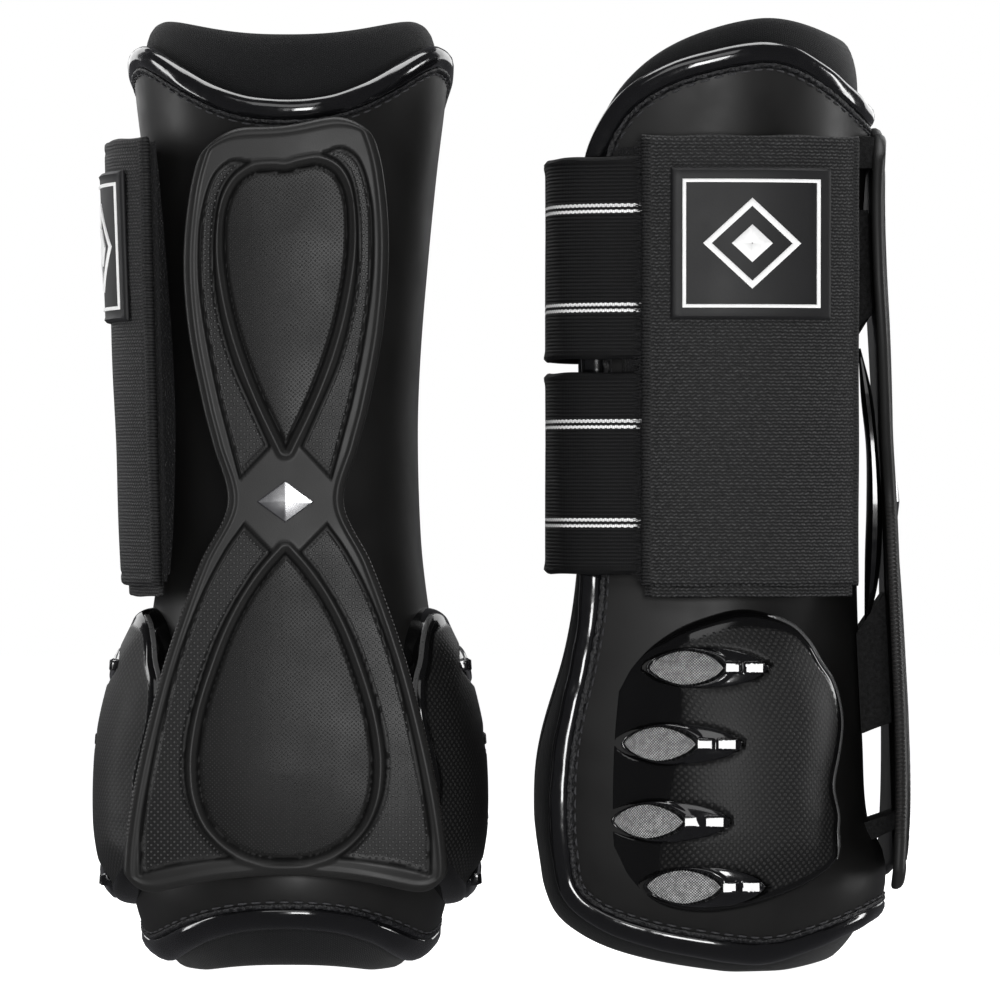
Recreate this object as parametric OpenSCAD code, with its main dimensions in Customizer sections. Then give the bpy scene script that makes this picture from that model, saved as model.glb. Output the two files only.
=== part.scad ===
// A pair of open-front tendon boots for a horse's lower legs, standing side by side.
// Each boot is drawn in its own frame: rear at -Y, open front at +Y, outer side at -X.
// Both boots are of the same hand; the second one is turned a quarter turn.

/* [Boot] */
// Height of the liner, the tallest layer
boot_h = 254; // [250:1:260]
// Thickness of the moulded outer shell
shell_t = 2.4; // [2.0:0.1:2.6]
// Thickness of the padded liner
liner_t = 6.5; // [5:0.1:7]
// Width of the rolled binding round the shell
binding_w = 4.6; // [4:0.1:5]

/* [Closure] */
// Width of each elastic strap
strap_w = 53.6; // [48:0.1:54]
// Thickness of the elastic
strap_t = 2.0; // [1.6:0.1:2.1]
// Height of the closure tab
tab_h = 119.5; // [112:0.5:120]
// Thickness of the tab's woven cover
tab_t = 3.0; // [2:0.1:3.2]

/* [Strike guard] */
// Thickness of the guard plate
guard_t = 3.0; // [2.4:0.1:3.2]

/* [Pair] */
// Distance between the two leg axes
boot_spacing = 112; // [112:1:160]

/* [Hidden] */
PARTS = [
    "outer_shell", "shell_binding", "liner", "impact_pad", "strike_guard",
    "guard_spacer_upper", "guard_spacer_lower", "guard_strut", "guard_badge",
    "fetlock_cup_outer", "fetlock_cup_inner", "vent_bezels_outer", "vent_bezels_inner",
    "vent_meshes_outer", "vent_meshes_inner", "strap_upper", "strap_lower",
    "strap_anchors", "closure_tab", "tab_hook_lining", "shell_loop_panel",
    "badge_patch", "badge_frame"
];

// Colours
satin_black = [0.06, 0.06, 0.065];
gloss_black = [0.02, 0.02, 0.022];
pad_black = [0.1, 0.1, 0.11];
weave_black = [0.13, 0.13, 0.14];
metal_grey = [0.6, 0.6, 0.6];
line_white = [0.9, 0.9, 0.9];

// Leg form: height, half width, depth to the rear, depth to the front
leg_form = [
    [0, 34, 37, 44.5], [9, 39, 43, 49.5], [20, 42.5, 48.4, 54.5], [31, 43.8, 48.6, 56.5],
    [41, 44.4, 44.2, 58], [62, 43.5, 42.8, 57], [82, 40, 42, 53], [100, 37, 41.4, 50],
    [117, 35.2, 41.2, 49], [145, 34.4, 41, 48.5], [167, 35.2, 41.2, 48.5], [194, 37.4, 42.2, 49.5],
    [216, 39.6, 43.8, 51], [238, 42.2, 44.5, 50], [258, 43.4, 42.6, 47]
];
// How far the sides close in towards the front, as a share of the half width
front_closing = 0.6;

// Heights of the shell's and the liner's edges: at the rear and on the sides
shell_low = [17.5, 5.5];
shell_high = [boot_h - 25, boot_h - 8];
liner_low = [3, -1];
liner_high = [boot_h - 4, boot_h + 2];
// How far round from the rear the front edges lie: at the leg and at the lobes
shell_turn = [127, 131.5];
liner_turn = [140, 150];
// Corner sizes and how square they are: a higher power keeps the edge level for longer
bottom_corner = 24;
bottom_power = 2.7;
shell_top_corner = 62;
liner_top_corner = 105;
top_power = 4;

// The liner's outer face: under the impact pad, and elsewhere
layer_gap = 0.55;
liner_out = -shell_t - layer_gap;
pad_t = 2;
pad_pocket = 3;
pad_turn = 55;
pad_z = [42, 198];

// Strap and tab heights
tab_low = 104;
strap_low = [107.2, 164.4];
// The inner face of the closure in plan, by length from its hinge: length, x, y
closure_route = [
    [0, 25, 38.4], [7, 19.6, 40.6], [26, 0, 41], [46, -20, 40.6], [57, -30.2, 37.6], [65, -35.6, 32.6],
    [76, -39.4, 25], [88, -42, 13], [102, -43, -1], [116, -41.6, -15], [129, -37.8, -27.5],
    [142, -31.6, -39]
];
closure_flare = 0.0008;
closure_mid_z = 163;
hinge_inner = 0.1;
strap_end = 76;
lining_start = strap_end + 1.5;
tab_start = 84;
tab_end = 141;

// Guard outline: height, half width; and how far its outer face stands from the leg axis
guard_form = [
    [24, 41.8, 53.2], [30, 42.8, 54], [47, 40.8, 54.6], [66, 36.8, 54.2], [86, 31.4, 53.2],
    [110, 22.8, 52], [126, 15.4, 51.4], [142, 19.4, 50.4], [152, 22, 50], [172, 25.8, 49.2],
    [192, 27.2, 48.2], [210, 25.8, 47.8], [221, 23, 48.2], [227, 19.5, 48.6]
];
guard_foot_h = 11;
// How fast the plate curls forward to its sides
guard_curl = 0.0012;

// Guard strut: height, distance of its front and rear faces from the leg axis
strut_form = [
    [94, 43.4, 44.4], [102, 43.4, 46.6], [112, 43.5, 48], [126, 43.9, 48.1],
    [141, 43.8, 47], [155, 42.4, 45.6], [168, 41.7, 42.4]
];
strut_half_w = 6;

// Vents: height and place along the boot of each one's middle
vents = [[82.5, 0.5], [62.4, 7.8], [41.9, 11], [24.6, 1.3]];
vent_l = 33;
vent_w = 11;

// Curves
function clamp01(t) = min(max(t, 0), 1);
function mix(a, b, t) = a + (b - a) * t;
function ease(t) = let (s = clamp01(t)) s * s * (3 - 2 * s);
function stretch_of(t, x, i = 0) = i >= len(t) - 2 || x < t[i + 1][0] ? i : stretch_of(t, x, i + 1);
function slope(t, i, c) =
    let (lo = max(i - 1, 0), hi = min(i + 1, len(t) - 1)) (t[hi][c] - t[lo][c]) / (t[hi][0] - t[lo][0]);
function cubic(p, q, dp, dq, s) =
    (2 * s ^ 3 - 3 * s ^ 2 + 1) * p + (s ^ 3 - 2 * s ^ 2 + s) * dp
    + (3 * s ^ 2 - 2 * s ^ 3) * q + (s ^ 3 - s ^ 2) * dq;
// Smooth curve through column c of table t at x
function along(t, x, c) =
    let (i = stretch_of(t, x), h = t[i + 1][0] - t[i][0], s = clamp01((x - t[i][0]) / h))
    cubic(t[i][c], t[i + 1][c], slope(t, i, c) * h, slope(t, i + 1, c) * h, s);

// Point of the leg form: turn from the rear (outer side positive), height, distance off the shell's face
function form_point(turn, z, off) =
    let (a = along(leg_form, z, 1) + off, rear = along(leg_form, z, 2) + off,
         front = along(leg_form, z, 3) + off, t = abs(turn), side = turn < 0 ? 1 : -1)
    t <= 90 ? [side * a * sin(t), -rear * cos(t), z]
    : [side * a * (1 - front_closing * (1 - sin(t))), -front * cos(t), z];

// Height of an edge at a turn, from its heights at the rear and on the sides
function edge_z(pair, turn) = mix(pair[0], pair[1], ease((abs(turn) / 75) ^ 1.25));
function corner(u, size, power = bottom_power) = size * (1 - (1 - min(abs(u), 1) ^ power) ^ (1 / power));
function turn_limit(pair, z) = mix(pair[1], pair[0], ease((z - 50) / 50));

// Point of the shell's layer: u across from -1 to 1, v from bottom to top, grown past its edge by g
function shell_point(u, v, g, off) =
    let (reach = shell_turn[1] * u,
         low = edge_z(shell_low, reach) + corner(u, bottom_corner) - g,
         high = edge_z(shell_high, reach) - corner(u, shell_top_corner, top_power) + g,
         z = mix(low, high, v))
    form_point(u * (turn_limit(shell_turn, z) + g * 1.2), z, off);

// Point of the liner's layer
function liner_point(u, v, off) =
    let (reach = liner_turn[1] * u,
         low = max(edge_z(liner_low, reach) + corner(u, bottom_corner + 2), 0),
         high = edge_z(liner_high, reach) - corner(u, liner_top_corner, top_power),
         z = mix(low, high, v))
    form_point(u * turn_limit(liner_turn, z), z, off);

// Even steps from -1 to 1, gathered towards the ends
function spread(i, n) = let (s = 2 * i / n - 1) mix(s, sin(90 * s), 0.6);

// Closed solid between two matching grids of points
module slab(face, back) {
    rows = len(face);
    cols = len(face[0]);
    size = rows * cols;
    function at(layer, r, c) = layer * size + r * cols + c;
    function quad(p, q, r, s) = [[p, q, r], [p, r, s]];
    points = concat([for (row = face) each row], [for (row = back) each row]);
    faces = concat(
        [for (r = [0:rows - 2], c = [0:cols - 2])
            each quad(at(0, r, c), at(0, r, c + 1), at(0, r + 1, c + 1), at(0, r + 1, c))],
        [for (r = [0:rows - 2], c = [0:cols - 2])
            each quad(at(1, r, c), at(1, r + 1, c), at(1, r + 1, c + 1), at(1, r, c + 1))],
        [for (c = [0:cols - 2])
            each quad(at(0, 0, c), at(1, 0, c), at(1, 0, c + 1), at(0, 0, c + 1))],
        [for (c = [0:cols - 2])
            each quad(at(0, rows - 1, c), at(0, rows - 1, c + 1), at(1, rows - 1, c + 1), at(1, rows - 1, c))],
        [for (r = [0:rows - 2])
            each quad(at(0, r, 0), at(0, r + 1, 0), at(1, r + 1, 0), at(1, r, 0))],
        [for (r = [0:rows - 2])
            each quad(at(0, r, cols - 1), at(1, r, cols - 1), at(1, r + 1, cols - 1), at(0, r + 1, cols - 1))]
    );
    polyhedron(points, faces, convexity = 8);
}

// Closed ring: the same section carried round a loop of stations
module ring(stations) {
    n = len(stations);
    m = len(stations[0]);
    faces = [for (k = [0:n - 1], j = [0:m - 1])
        let (k2 = (k + 1) % n, j2 = (j + 1) % m)
        each [[k * m + j, k2 * m + j, k2 * m + j2], [k * m + j, k2 * m + j2, k * m + j2]]];
    polyhedron([for (s = stations) each s], faces, convexity = 8);
}

// Layers of the boot

// Facets across and up the large layers
shell_cols = 18;
shell_rows = 12;

module outer_shell() {
    cols = shell_cols;
    rows = shell_rows;
    grid = function(off) [for (r = [0:rows]) [for (c = [0:cols]) shell_point(spread(c, cols), r / rows, 0, off)]];
    color(satin_black) slab(grid(0), grid(-shell_t));
}

module shell_binding() {
    cols = shell_cols;
    rows = shell_rows;
    loop = concat(
        [for (c = [0:cols - 1]) [spread(c, cols), 0]],
        [for (r = [0:rows - 1]) [1, r / rows]],
        [for (c = [0:cols - 1]) [-spread(c, cols), 1]],
        [for (r = [0:rows - 1]) [-1, 1 - r / rows]]
    );
    section = [[0.1, -shell_t], [0.1, 0.3], [binding_w * 0.4, 1], [binding_w * 0.8, 0.7],
        [binding_w, -shell_t]];
    color(gloss_black)
        ring([for (p = loop) [for (s = section) shell_point(p[0], p[1], s[0], s[1])]]);
}

// The liner is thinner behind the impact pad, which sits in its pocket
function pocket(u, v) = abs(u) < 0.6 && v > 0.08 && v < 0.84 ? pad_pocket : 0;
module liner() {
    cols = shell_cols;
    rows = shell_rows;
    grid = function(inner) [for (r = [0:rows]) [for (c = [0:cols])
        let (u = spread(c, cols), v = r / rows)
        liner_point(u, v, inner ? liner_out - liner_t : liner_out - pocket(u, v))]];
    color(pad_black) slab(grid(false), grid(true));
}

module impact_pad() {
    cols = 10;
    rows = 9;
    grid = function(off) [for (r = [0:rows]) [for (c = [0:cols])
        form_point(mix(-pad_turn, pad_turn, c / cols), mix(pad_z[0], pad_z[1], r / rows), off)]];
    color(weave_black) slab(grid(liner_out - 0.4), grid(liner_out - 0.4 - pad_t));
}

// Fetlock cups: a raised panel that merges into the shell at its front edge
cup_turns = [45, 116];
cup_low = 14;
cup_high = 97;
cup_corner = [16, 34];
cup_rise = [[45, 10.6], [90, 9], [106, 4.5], [116, 1.2]];
function cup_point(u, v, off) =
    let (turn = mix(cup_turns[0], cup_turns[1], (u + 1) / 2),
         low = cup_low + corner(u, u < 0 ? cup_corner[0] : cup_corner[1]),
         high = cup_high - corner(u, cup_corner[1]),
         z = mix(low, high, v), bulge = 1 - 0.42 * abs(2 * v - 1) ^ 3)
    form_point(turn, z, off == 0 ? 0.1 : along(cup_rise, turn, 1) * bulge * off);

module fetlock_cup_outer() {
    cols = 12;
    rows = 8;
    grid = function(off) [for (r = [0:rows]) [for (c = [0:cols]) cup_point(spread(c, cols), r / rows, off)]];
    color(gloss_black) slab(grid(1), grid(0));
}

module fetlock_cup_inner() mirror([1, 0, 0]) fetlock_cup_outer();

// A vent lies on the cup's face; its points are found from height and place along the boot
function cup_face(y, z, off) =
    let (front = along(leg_form, z, 3), rear = along(leg_form, z, 2),
         turn = y > 0 ? 90 + asin(min(y / (front + 4), 0.9)) : 90 - asin(min(-y / (rear + 9), 0.9)),
         v = clamp01((z - cup_low) / (cup_high - cup_low)), bulge = 1 - 0.42 * abs(2 * v - 1) ^ 3)
    form_point(turn, z, along(cup_rise, turn, 1) * bulge + off);

module vent_shapes(length, width, shift, base, top) {
    cols = 5;
    rows = 2;
    for (vent = vents) {
        grid = function(off) [for (r = [0:rows]) [for (c = [0:cols])
            let (u = spread(c, cols), half = width / 2 * max((1 - u * u) ^ 0.7, 0.12),
                 y = vent[1] + shift + u * length / 2, z = vent[0] + mix(-half, half, r / rows))
            cup_face(y, z, off)]];
        slab(grid(top), grid(base));
    }
}
module vent_bezels_outer() color(gloss_black) vent_shapes(vent_l, vent_w, 0, 0.3, 1);
module vent_bezels_inner() mirror([1, 0, 0]) vent_bezels_outer();
module vent_meshes_outer() color(metal_grey) vent_shapes(vent_l * 0.58, vent_w * 0.8, 5.5, 1.1, 1.5);
module vent_meshes_inner() mirror([1, 0, 0]) vent_meshes_outer();

// Strike guard: a plate that stands off the shell and rests on a foot at each end

function guard_y(x, z, depth) =
    -along(guard_form, z, 2) + depth + guard_curl * x * x;
function shell_rear_y(x, z, off) =
    let (a = along(leg_form, z, 1) + off, b = along(leg_form, z, 2) + off) -b * sqrt(max(1 - (x / a) ^ 2, 0.05));

module strike_guard() {
    cols = 8;
    rows = 14;
    low = guard_form[0][0];
    high = guard_form[len(guard_form) - 1][0];
    grid = function(inner) [for (r = [0:rows]) [for (c = [0:cols])
        let (z = mix(low, high, r / rows), u = 2 * c / cols - 1, x = -u * along(guard_form, z, 1),
             dip = 3 * (1 - u * u) * clamp01(1 - r), foot = z < low + guard_foot_h || z > high - guard_foot_h,
             plate = guard_y(x, z, guard_t), on_shell = shell_rear_y(x, z, 0.35))
        [x, !inner ? guard_y(x, z, 0) : foot && abs(u) < 0.8 ? max(plate, on_shell) : plate, z + dip]]];
    color(satin_black) slab(grid(false), grid(true));
}

// Foam block between the shell and the guard plate
module guard_spacer(low, high, half_w) {
    cols = 4;
    rows = 4;
    grid = function(inner) [for (r = [0:rows]) [for (c = [0:cols])
        let (z = mix(low, high, r / rows), x = mix(half_w, -half_w, c / cols))
        [x, inner ? shell_rear_y(x, z, 0.4) : guard_y(x, z, guard_t + 0.3), z]]];
    color(pad_black) slab(grid(false), grid(true));
}
module guard_spacer_upper() guard_spacer(172, 205, 13);
module guard_spacer_lower() guard_spacer(63, 93, 11);

// Glossy leaf-shaped strut between the shell and the guard's waist
module guard_strut() {
    cols = 4;
    rows = 12;
    low = strut_form[0][0];
    high = strut_form[len(strut_form) - 1][0];
    grid = function(inner) [for (r = [0:rows]) [for (c = [0:cols])
        let (z = mix(low, high, r / rows), u = 2 * c / cols - 1,
             x = -u * max(strut_half_w * sin(180 * r / rows) ^ 0.7, 0.8),
             front = along(strut_form, z, 1), rear = along(strut_form, z, 2),
             thick = (rear - front) * (1 - 0.7 * u * u))
        [x, -(front + rear + (inner ? -thick : thick)) / 2, z]]];
    color(gloss_black) slab(grid(false), grid(true));
}

// Plain metal lozenge at the guard's waist
module guard_badge() {
    badge_z = 126.5;
    color(metal_grey) translate([0, -along(guard_form, badge_z, 2) - 0.3, badge_z]) rotate([90, 0, 0])
        linear_extrude(1.6) polygon([[7.5, 0], [0, 5.5], [-7.5, 0], [0, -5.5]]);
}

// Closure: straps, tab and patch follow one route round the front of the boot

function route_xy(t, d) =
    let (x = along(closure_route, t, 1), y = along(closure_route, t, 2), e = 0.5,
         dx = along(closure_route, t + e, 1) - along(closure_route, t - e, 1),
         dy = along(closure_route, t + e, 2) - along(closure_route, t - e, 2), n = sqrt(dx * dx + dy * dy))
    [x + dy / n * d, y - dx / n * d];
function closure_point(t, z, d) =
    let (p = route_xy(min(max(t, 0.5), 141.5), d)) [p[0] * (1 + closure_flare * (z - closure_mid_z)), p[1], z];

// Strip of the closure: lengths t0 to t1, heights z0 to z1, distances d0 to d1 off the route
module closure_strip(t0, t1, z0, z1, d0, d1, cols, rows) {
    grid = function(d) [for (r = [0:rows]) [for (c = [0:cols])
        closure_point(mix(t0, t1, c / cols), mix(z0, z1, r / rows), d)]];
    slab(grid(d1), grid(d0));
}

module strap_upper() color(weave_black)
    closure_strip(0.5, strap_end, strap_low[1], strap_low[1] + strap_w, hinge_inner, hinge_inner + strap_t, 16, 1);
module strap_lower() color(weave_black)
    closure_strip(0.5, strap_end, strap_low[0], strap_low[0] + strap_w, hinge_inner, hinge_inner + strap_t, 16, 1);
module tab_hook_lining() color(pad_black)
    closure_strip(lining_start, tab_end - 1, tab_low + 2, tab_low + tab_h - 2, hinge_inner,
        hinge_inner + strap_t, 9, 1);
module closure_tab() color(weave_black)
    closure_strip(tab_start, tab_end, tab_low, tab_low + tab_h, strap_t + 0.2, strap_t + 0.2 + tab_t, 9, 1);

patch_d = strap_t + tab_t + 0.3;
patch_t = [91.4, 131.4];
patch_z = [174.8, 214.8];
module badge_patch() color(gloss_black)
    closure_strip(patch_t[0], patch_t[1], patch_z[0], patch_z[1], patch_d, patch_d + 1.4, 6, 1);
module badge_frame() {
    inset = 3;
    line = 0.9;
    low = patch_d + 1.45;
    high = low + 0.4;
    t = [patch_t[0] + inset, patch_t[1] - inset];
    z = [patch_z[0] + inset, patch_z[1] - inset];
    color(line_white) {
        closure_strip(t[0], t[1], z[0], z[0] + line, low, high, 6, 1);
        closure_strip(t[0], t[1], z[1] - line, z[1], low, high, 6, 1);
        closure_strip(t[0], t[0] + line, z[0] + line + 0.05, z[1] - line - 0.05, low, high, 1, 1);
        closure_strip(t[1] - line, t[1], z[0] + line + 0.05, z[1] - line - 0.05, low, high, 1, 1);
    }
}

// Sewn ends of the elastics, from the binding's edge to just short of the hinge line
module strap_anchors() {
    rows = 3;
    clearance = 1.5;
    at_binding = function(z, outer) form_point(-turn_limit(shell_turn, z) - 6.4, z, outer ? -0.4 : liner_out + 1.3);
    at_hinge = function(z, outer) let (p = closure_point(0.5, z, outer ? strap_t : hinge_inner))
        p + clearance * [0.94, -0.34, 0];
    for (low = strap_low) {
        grid = function(outer) [for (r = [0:rows]) let (z = mix(low, low + strap_w, r / rows))
            [at_binding(z, outer), at_hinge(z, outer)]];
        color(weave_black) slab(grid(true), grid(false));
    }
}

// Pile panel on the shell, filling the space under the tab
module shell_loop_panel() {
    cols = 8;
    rows = 3;
    grid = function(inner) [for (r = [0:rows]) [for (c = [0:cols])
        let (z = mix(tab_low + 3, tab_low + tab_h - 3, r / rows), s = c / cols)
        inner ? form_point(mix(118, 62, s), z, 0.15) : closure_point(mix(79, 127, s), z, -0.35)]];
    color(pad_black) slab(grid(false), grid(true));
}

// Places of the two boots: the pair's box is centred on the origin and stands on z = 0
pair_shift = [-0.04, 0.04, -0.33];
module boot_a() translate(pair_shift - [boot_spacing / 2, 0, 0]) children();
module boot_b() translate(pair_shift + [boot_spacing / 2, 0, 0]) rotate([0, 0, 90]) children();

boot_a() outer_shell();  // outer_shell_a
boot_a() shell_binding();  // shell_binding_a
boot_a() liner();  // liner_a
boot_a() impact_pad();  // impact_pad_a
boot_a() strike_guard();  // strike_guard_a
boot_a() guard_spacer_upper();  // guard_spacer_upper_a
boot_a() guard_spacer_lower();  // guard_spacer_lower_a
boot_a() guard_strut();  // guard_strut_a
boot_a() guard_badge();  // guard_badge_a
boot_a() fetlock_cup_outer();  // fetlock_cup_outer_a
boot_a() fetlock_cup_inner();  // fetlock_cup_inner_a
boot_a() vent_bezels_outer();  // vent_bezels_outer_a
boot_a() vent_bezels_inner();  // vent_bezels_inner_a
boot_a() vent_meshes_outer();  // vent_meshes_outer_a
boot_a() vent_meshes_inner();  // vent_meshes_inner_a
boot_a() strap_upper();  // strap_upper_a
boot_a() strap_lower();  // strap_lower_a
boot_a() strap_anchors();  // strap_anchors_a
boot_a() closure_tab();  // closure_tab_a
boot_a() tab_hook_lining();  // tab_hook_lining_a
boot_a() shell_loop_panel();  // shell_loop_panel_a
boot_a() badge_patch();  // badge_patch_a
boot_a() badge_frame();  // badge_frame_a
boot_b() outer_shell();  // outer_shell_b
boot_b() shell_binding();  // shell_binding_b
boot_b() liner();  // liner_b
boot_b() impact_pad();  // impact_pad_b
boot_b() strike_guard();  // strike_guard_b
boot_b() guard_spacer_upper();  // guard_spacer_upper_b
boot_b() guard_spacer_lower();  // guard_spacer_lower_b
boot_b() guard_strut();  // guard_strut_b
boot_b() guard_badge();  // guard_badge_b
boot_b() fetlock_cup_outer();  // fetlock_cup_outer_b
boot_b() fetlock_cup_inner();  // fetlock_cup_inner_b
boot_b() vent_bezels_outer();  // vent_bezels_outer_b
boot_b() vent_bezels_inner();  // vent_bezels_inner_b
boot_b() vent_meshes_outer();  // vent_meshes_outer_b
boot_b() vent_meshes_inner();  // vent_meshes_inner_b
boot_b() strap_upper();  // strap_upper_b
boot_b() strap_lower();  // strap_lower_b
boot_b() strap_anchors();  // strap_anchors_b
boot_b() closure_tab();  // closure_tab_b
boot_b() tab_hook_lining();  // tab_hook_lining_b
boot_b() shell_loop_panel();  // shell_loop_panel_b
boot_b() badge_patch();  // badge_patch_b
boot_b() badge_frame();  // badge_frame_b
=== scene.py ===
"""A pair of open-front tendon boots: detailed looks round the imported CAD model.

Shapes are worked out in one boot's own frame, in millimetres (rear at -Y, open front at +Y,
outer side at -X), and placed for both boots by place().
"""

import math

import bmesh
import bpy
import numpy as np
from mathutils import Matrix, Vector


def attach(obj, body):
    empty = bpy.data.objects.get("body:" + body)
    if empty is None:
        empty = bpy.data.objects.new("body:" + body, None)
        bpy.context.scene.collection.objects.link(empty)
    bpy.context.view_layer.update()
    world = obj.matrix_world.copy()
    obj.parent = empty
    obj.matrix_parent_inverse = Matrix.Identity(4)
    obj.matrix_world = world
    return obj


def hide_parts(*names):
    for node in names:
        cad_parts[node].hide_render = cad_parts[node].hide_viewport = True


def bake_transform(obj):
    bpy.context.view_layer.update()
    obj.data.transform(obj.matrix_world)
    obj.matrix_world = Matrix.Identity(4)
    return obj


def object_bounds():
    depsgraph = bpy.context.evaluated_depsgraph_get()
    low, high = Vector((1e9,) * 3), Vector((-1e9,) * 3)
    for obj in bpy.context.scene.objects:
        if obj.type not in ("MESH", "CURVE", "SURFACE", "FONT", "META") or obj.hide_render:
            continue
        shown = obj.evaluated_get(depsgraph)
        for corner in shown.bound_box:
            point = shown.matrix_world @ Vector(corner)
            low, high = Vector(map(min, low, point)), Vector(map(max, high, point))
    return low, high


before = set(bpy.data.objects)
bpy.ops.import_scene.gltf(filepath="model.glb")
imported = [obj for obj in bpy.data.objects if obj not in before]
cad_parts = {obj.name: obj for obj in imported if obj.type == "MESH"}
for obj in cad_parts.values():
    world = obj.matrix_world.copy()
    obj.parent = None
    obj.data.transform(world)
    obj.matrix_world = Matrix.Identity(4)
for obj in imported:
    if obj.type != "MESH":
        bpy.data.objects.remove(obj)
cad_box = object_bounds()

MM = 0.001
BOOTS = ("a", "b")
BOOT_SPACING = 112.0
PAIR_SHIFT = np.array([-0.04, 0.04, -0.33])

# Leg form: height, half width, depth to the rear, depth to the front
LEG_FORM = np.array([
    [0, 34, 37, 44.5], [9, 39, 43, 49.5], [20, 42.5, 48.4, 54.5], [31, 43.8, 48.6, 56.5],
    [41, 44.4, 44.2, 58], [62, 43.5, 42.8, 57], [82, 40, 42, 53], [100, 37, 41.4, 50],
    [117, 35.2, 41.2, 49], [145, 34.4, 41, 48.5], [167, 35.2, 41.2, 48.5], [194, 37.4, 42.2, 49.5],
    [216, 39.6, 43.8, 51], [238, 42.2, 44.5, 50], [258, 43.4, 42.6, 47]])
FRONT_CLOSING = 0.6

# Edge heights at the rear and on the sides, and the turns of the front edges at the leg and lobes
SHELL_LOW, SHELL_HIGH, SHELL_TURN = (17.5, 5.5), (229.0, 246.0), (127.0, 131.5)
LINER_LOW, LINER_HIGH, LINER_TURN = (3.0, -1.0), (250.0, 256.0), (140.0, 150.0)
SHELL_CORNERS, LINER_CORNERS = (24.0, 62.0), (26.0, 105.0)
# A higher power keeps an edge level for longer before its corner
BOTTOM_POWER, TOP_POWER = 2.7, 4.0
# Turn at which the edges reach their side heights; heights where the lobes end and the leg begins
SIDE_TURN = 75.0
LOBE_Z, LEG_Z = 50.0, 100.0
SHELL_T = 2.4
LINER_OUT, LINER_IN = -2.95, -9.45

# Closure in plan: length from the hinge, x, y; straps and tab follow it
ROUTE = np.array([
    [0, 25, 38.4], [7, 19.6, 40.6], [26, 0, 41], [46, -20, 40.6], [57, -30.2, 37.6],
    [65, -35.6, 32.6], [76, -39.4, 25], [88, -42, 13], [102, -43, -1], [116, -41.6, -15],
    [129, -37.8, -27.5], [142, -31.6, -39]])
STRAP_W = 53.6
STRAP_LOW = {"lower": 107.2, "upper": 164.4}
STRAPS_MID_Z = 163.0
ANCHOR_LENGTH = 9.0
TAB_T0, TAB_T1, TAB_Z0, TAB_Z1 = 84.0, 141.0, 104.0, 223.5
PATCH_T, PATCH_Z = (91.4, 131.4), (174.8, 214.8)
PATCH_D = 5.3
HINGE = (25.065, 39.566)
PEEL = (-40.430, 25.341)

# Guard outline: height, half width, distance of the outer face from the leg axis
GUARD_FORM = np.array([
    [24, 41.8, 53.2], [30, 42.8, 54], [47, 40.8, 54.6], [66, 36.8, 54.2], [86, 31.4, 53.2],
    [110, 22.8, 52], [126, 15.4, 51.4], [142, 19.4, 50.4], [152, 22, 50], [172, 25.8, 49.2],
    [192, 27.2, 48.2], [210, 25.8, 47.8], [221, 23, 48.2], [227, 19.5, 48.6]])
GUARD_T = 3.0
GUARD_CURL = 0.0012
GUARD_LEAN = 0.12
WAIST_Z = 126.0
STRUT_FORM = np.array([
    [94, 43.4, 44.4], [102, 43.4, 46.6], [112, 43.5, 48], [126, 43.9, 48.1],
    [141, 43.8, 47], [155, 42.4, 45.6], [168, 41.7, 42.4]])
STRUT_HALF_W = 6.0

CUP_RISE = np.array([[45, 10.6], [90, 9], [106, 4.5], [116, 1.2]])
CUP_Z = (14.0, 97.0)
# Turn of the cup's rear edge by height; its top and bottom edges by share from rear to front
CUP_REAR = np.array([[14, 50], [24, 47.5], [32, 46], [45, 47.5], [58, 45], [70, 43], [80, 43.5],
                     [90, 46], [97, 50]])
CUP_FRONT = 116.0
CUP_TOP = np.array([[0, 84], [0.06, 89.5], [0.16, 94.5], [0.34, 97.6], [0.5, 97.4], [0.7, 94],
                    [0.85, 88.5], [0.95, 82], [1, 76]])
CUP_BOTTOM = np.array([[0, 31.5], [0.06, 28], [0.2, 23.5], [0.42, 19], [0.65, 17.5], [0.82, 20],
                       [0.94, 27], [1, 35]])
VENTS = ((82.5, 0.5), (62.4, 7.8), (41.9, 11.0), (24.6, 1.3))
VENT_L, VENT_W = 33.0, 11.0
VENT_SINK = 1.7


# ---------------------------------------------------------------- curves and surfaces

def mix(a, b, t):
    return a + (b - a) * t


def ease(t):
    s = np.clip(t, 0, 1)
    return s * s * (3 - 2 * s)


def stack(*parts):
    """Coordinates side by side in a new last axis."""
    return np.stack(np.broadcast_arrays(*parts), -1)


def unit(vectors):
    return vectors / np.linalg.norm(vectors, axis=-1, keepdims=True)


def edge_gap(a, b, a_range, b_range):
    """Distance to the nearest side of a rectangle, from inside it."""
    sides = np.broadcast_arrays(a - a_range[0], a_range[1] - a, b - b_range[0], b_range[1] - b)
    return np.minimum.reduce(sides)


def mesh_steps(across, up):
    return np.meshgrid(across, np.linspace(0, 1, up + 1))


def along(table, x, column):
    """Smooth curve through one column of a table at x."""
    table = np.asarray(table, float)
    x = np.asarray(x, float)
    keys, values = table[:, 0], table[:, column]
    slopes = np.empty(len(keys))
    slopes[1:-1] = (values[2:] - values[:-2]) / (keys[2:] - keys[:-2])
    slopes[0] = (values[1] - values[0]) / (keys[1] - keys[0])
    slopes[-1] = (values[-1] - values[-2]) / (keys[-1] - keys[-2])
    i = np.clip(np.searchsorted(keys, x, side="right") - 1, 0, len(keys) - 2)
    h = keys[i + 1] - keys[i]
    s = np.clip((x - keys[i]) / h, 0, 1)
    return ((2 * s ** 3 - 3 * s ** 2 + 1) * values[i] + (s ** 3 - 2 * s ** 2 + s) * slopes[i] * h
            + (3 * s ** 2 - 2 * s ** 3) * values[i + 1] + (s ** 3 - s ** 2) * slopes[i + 1] * h)


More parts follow.
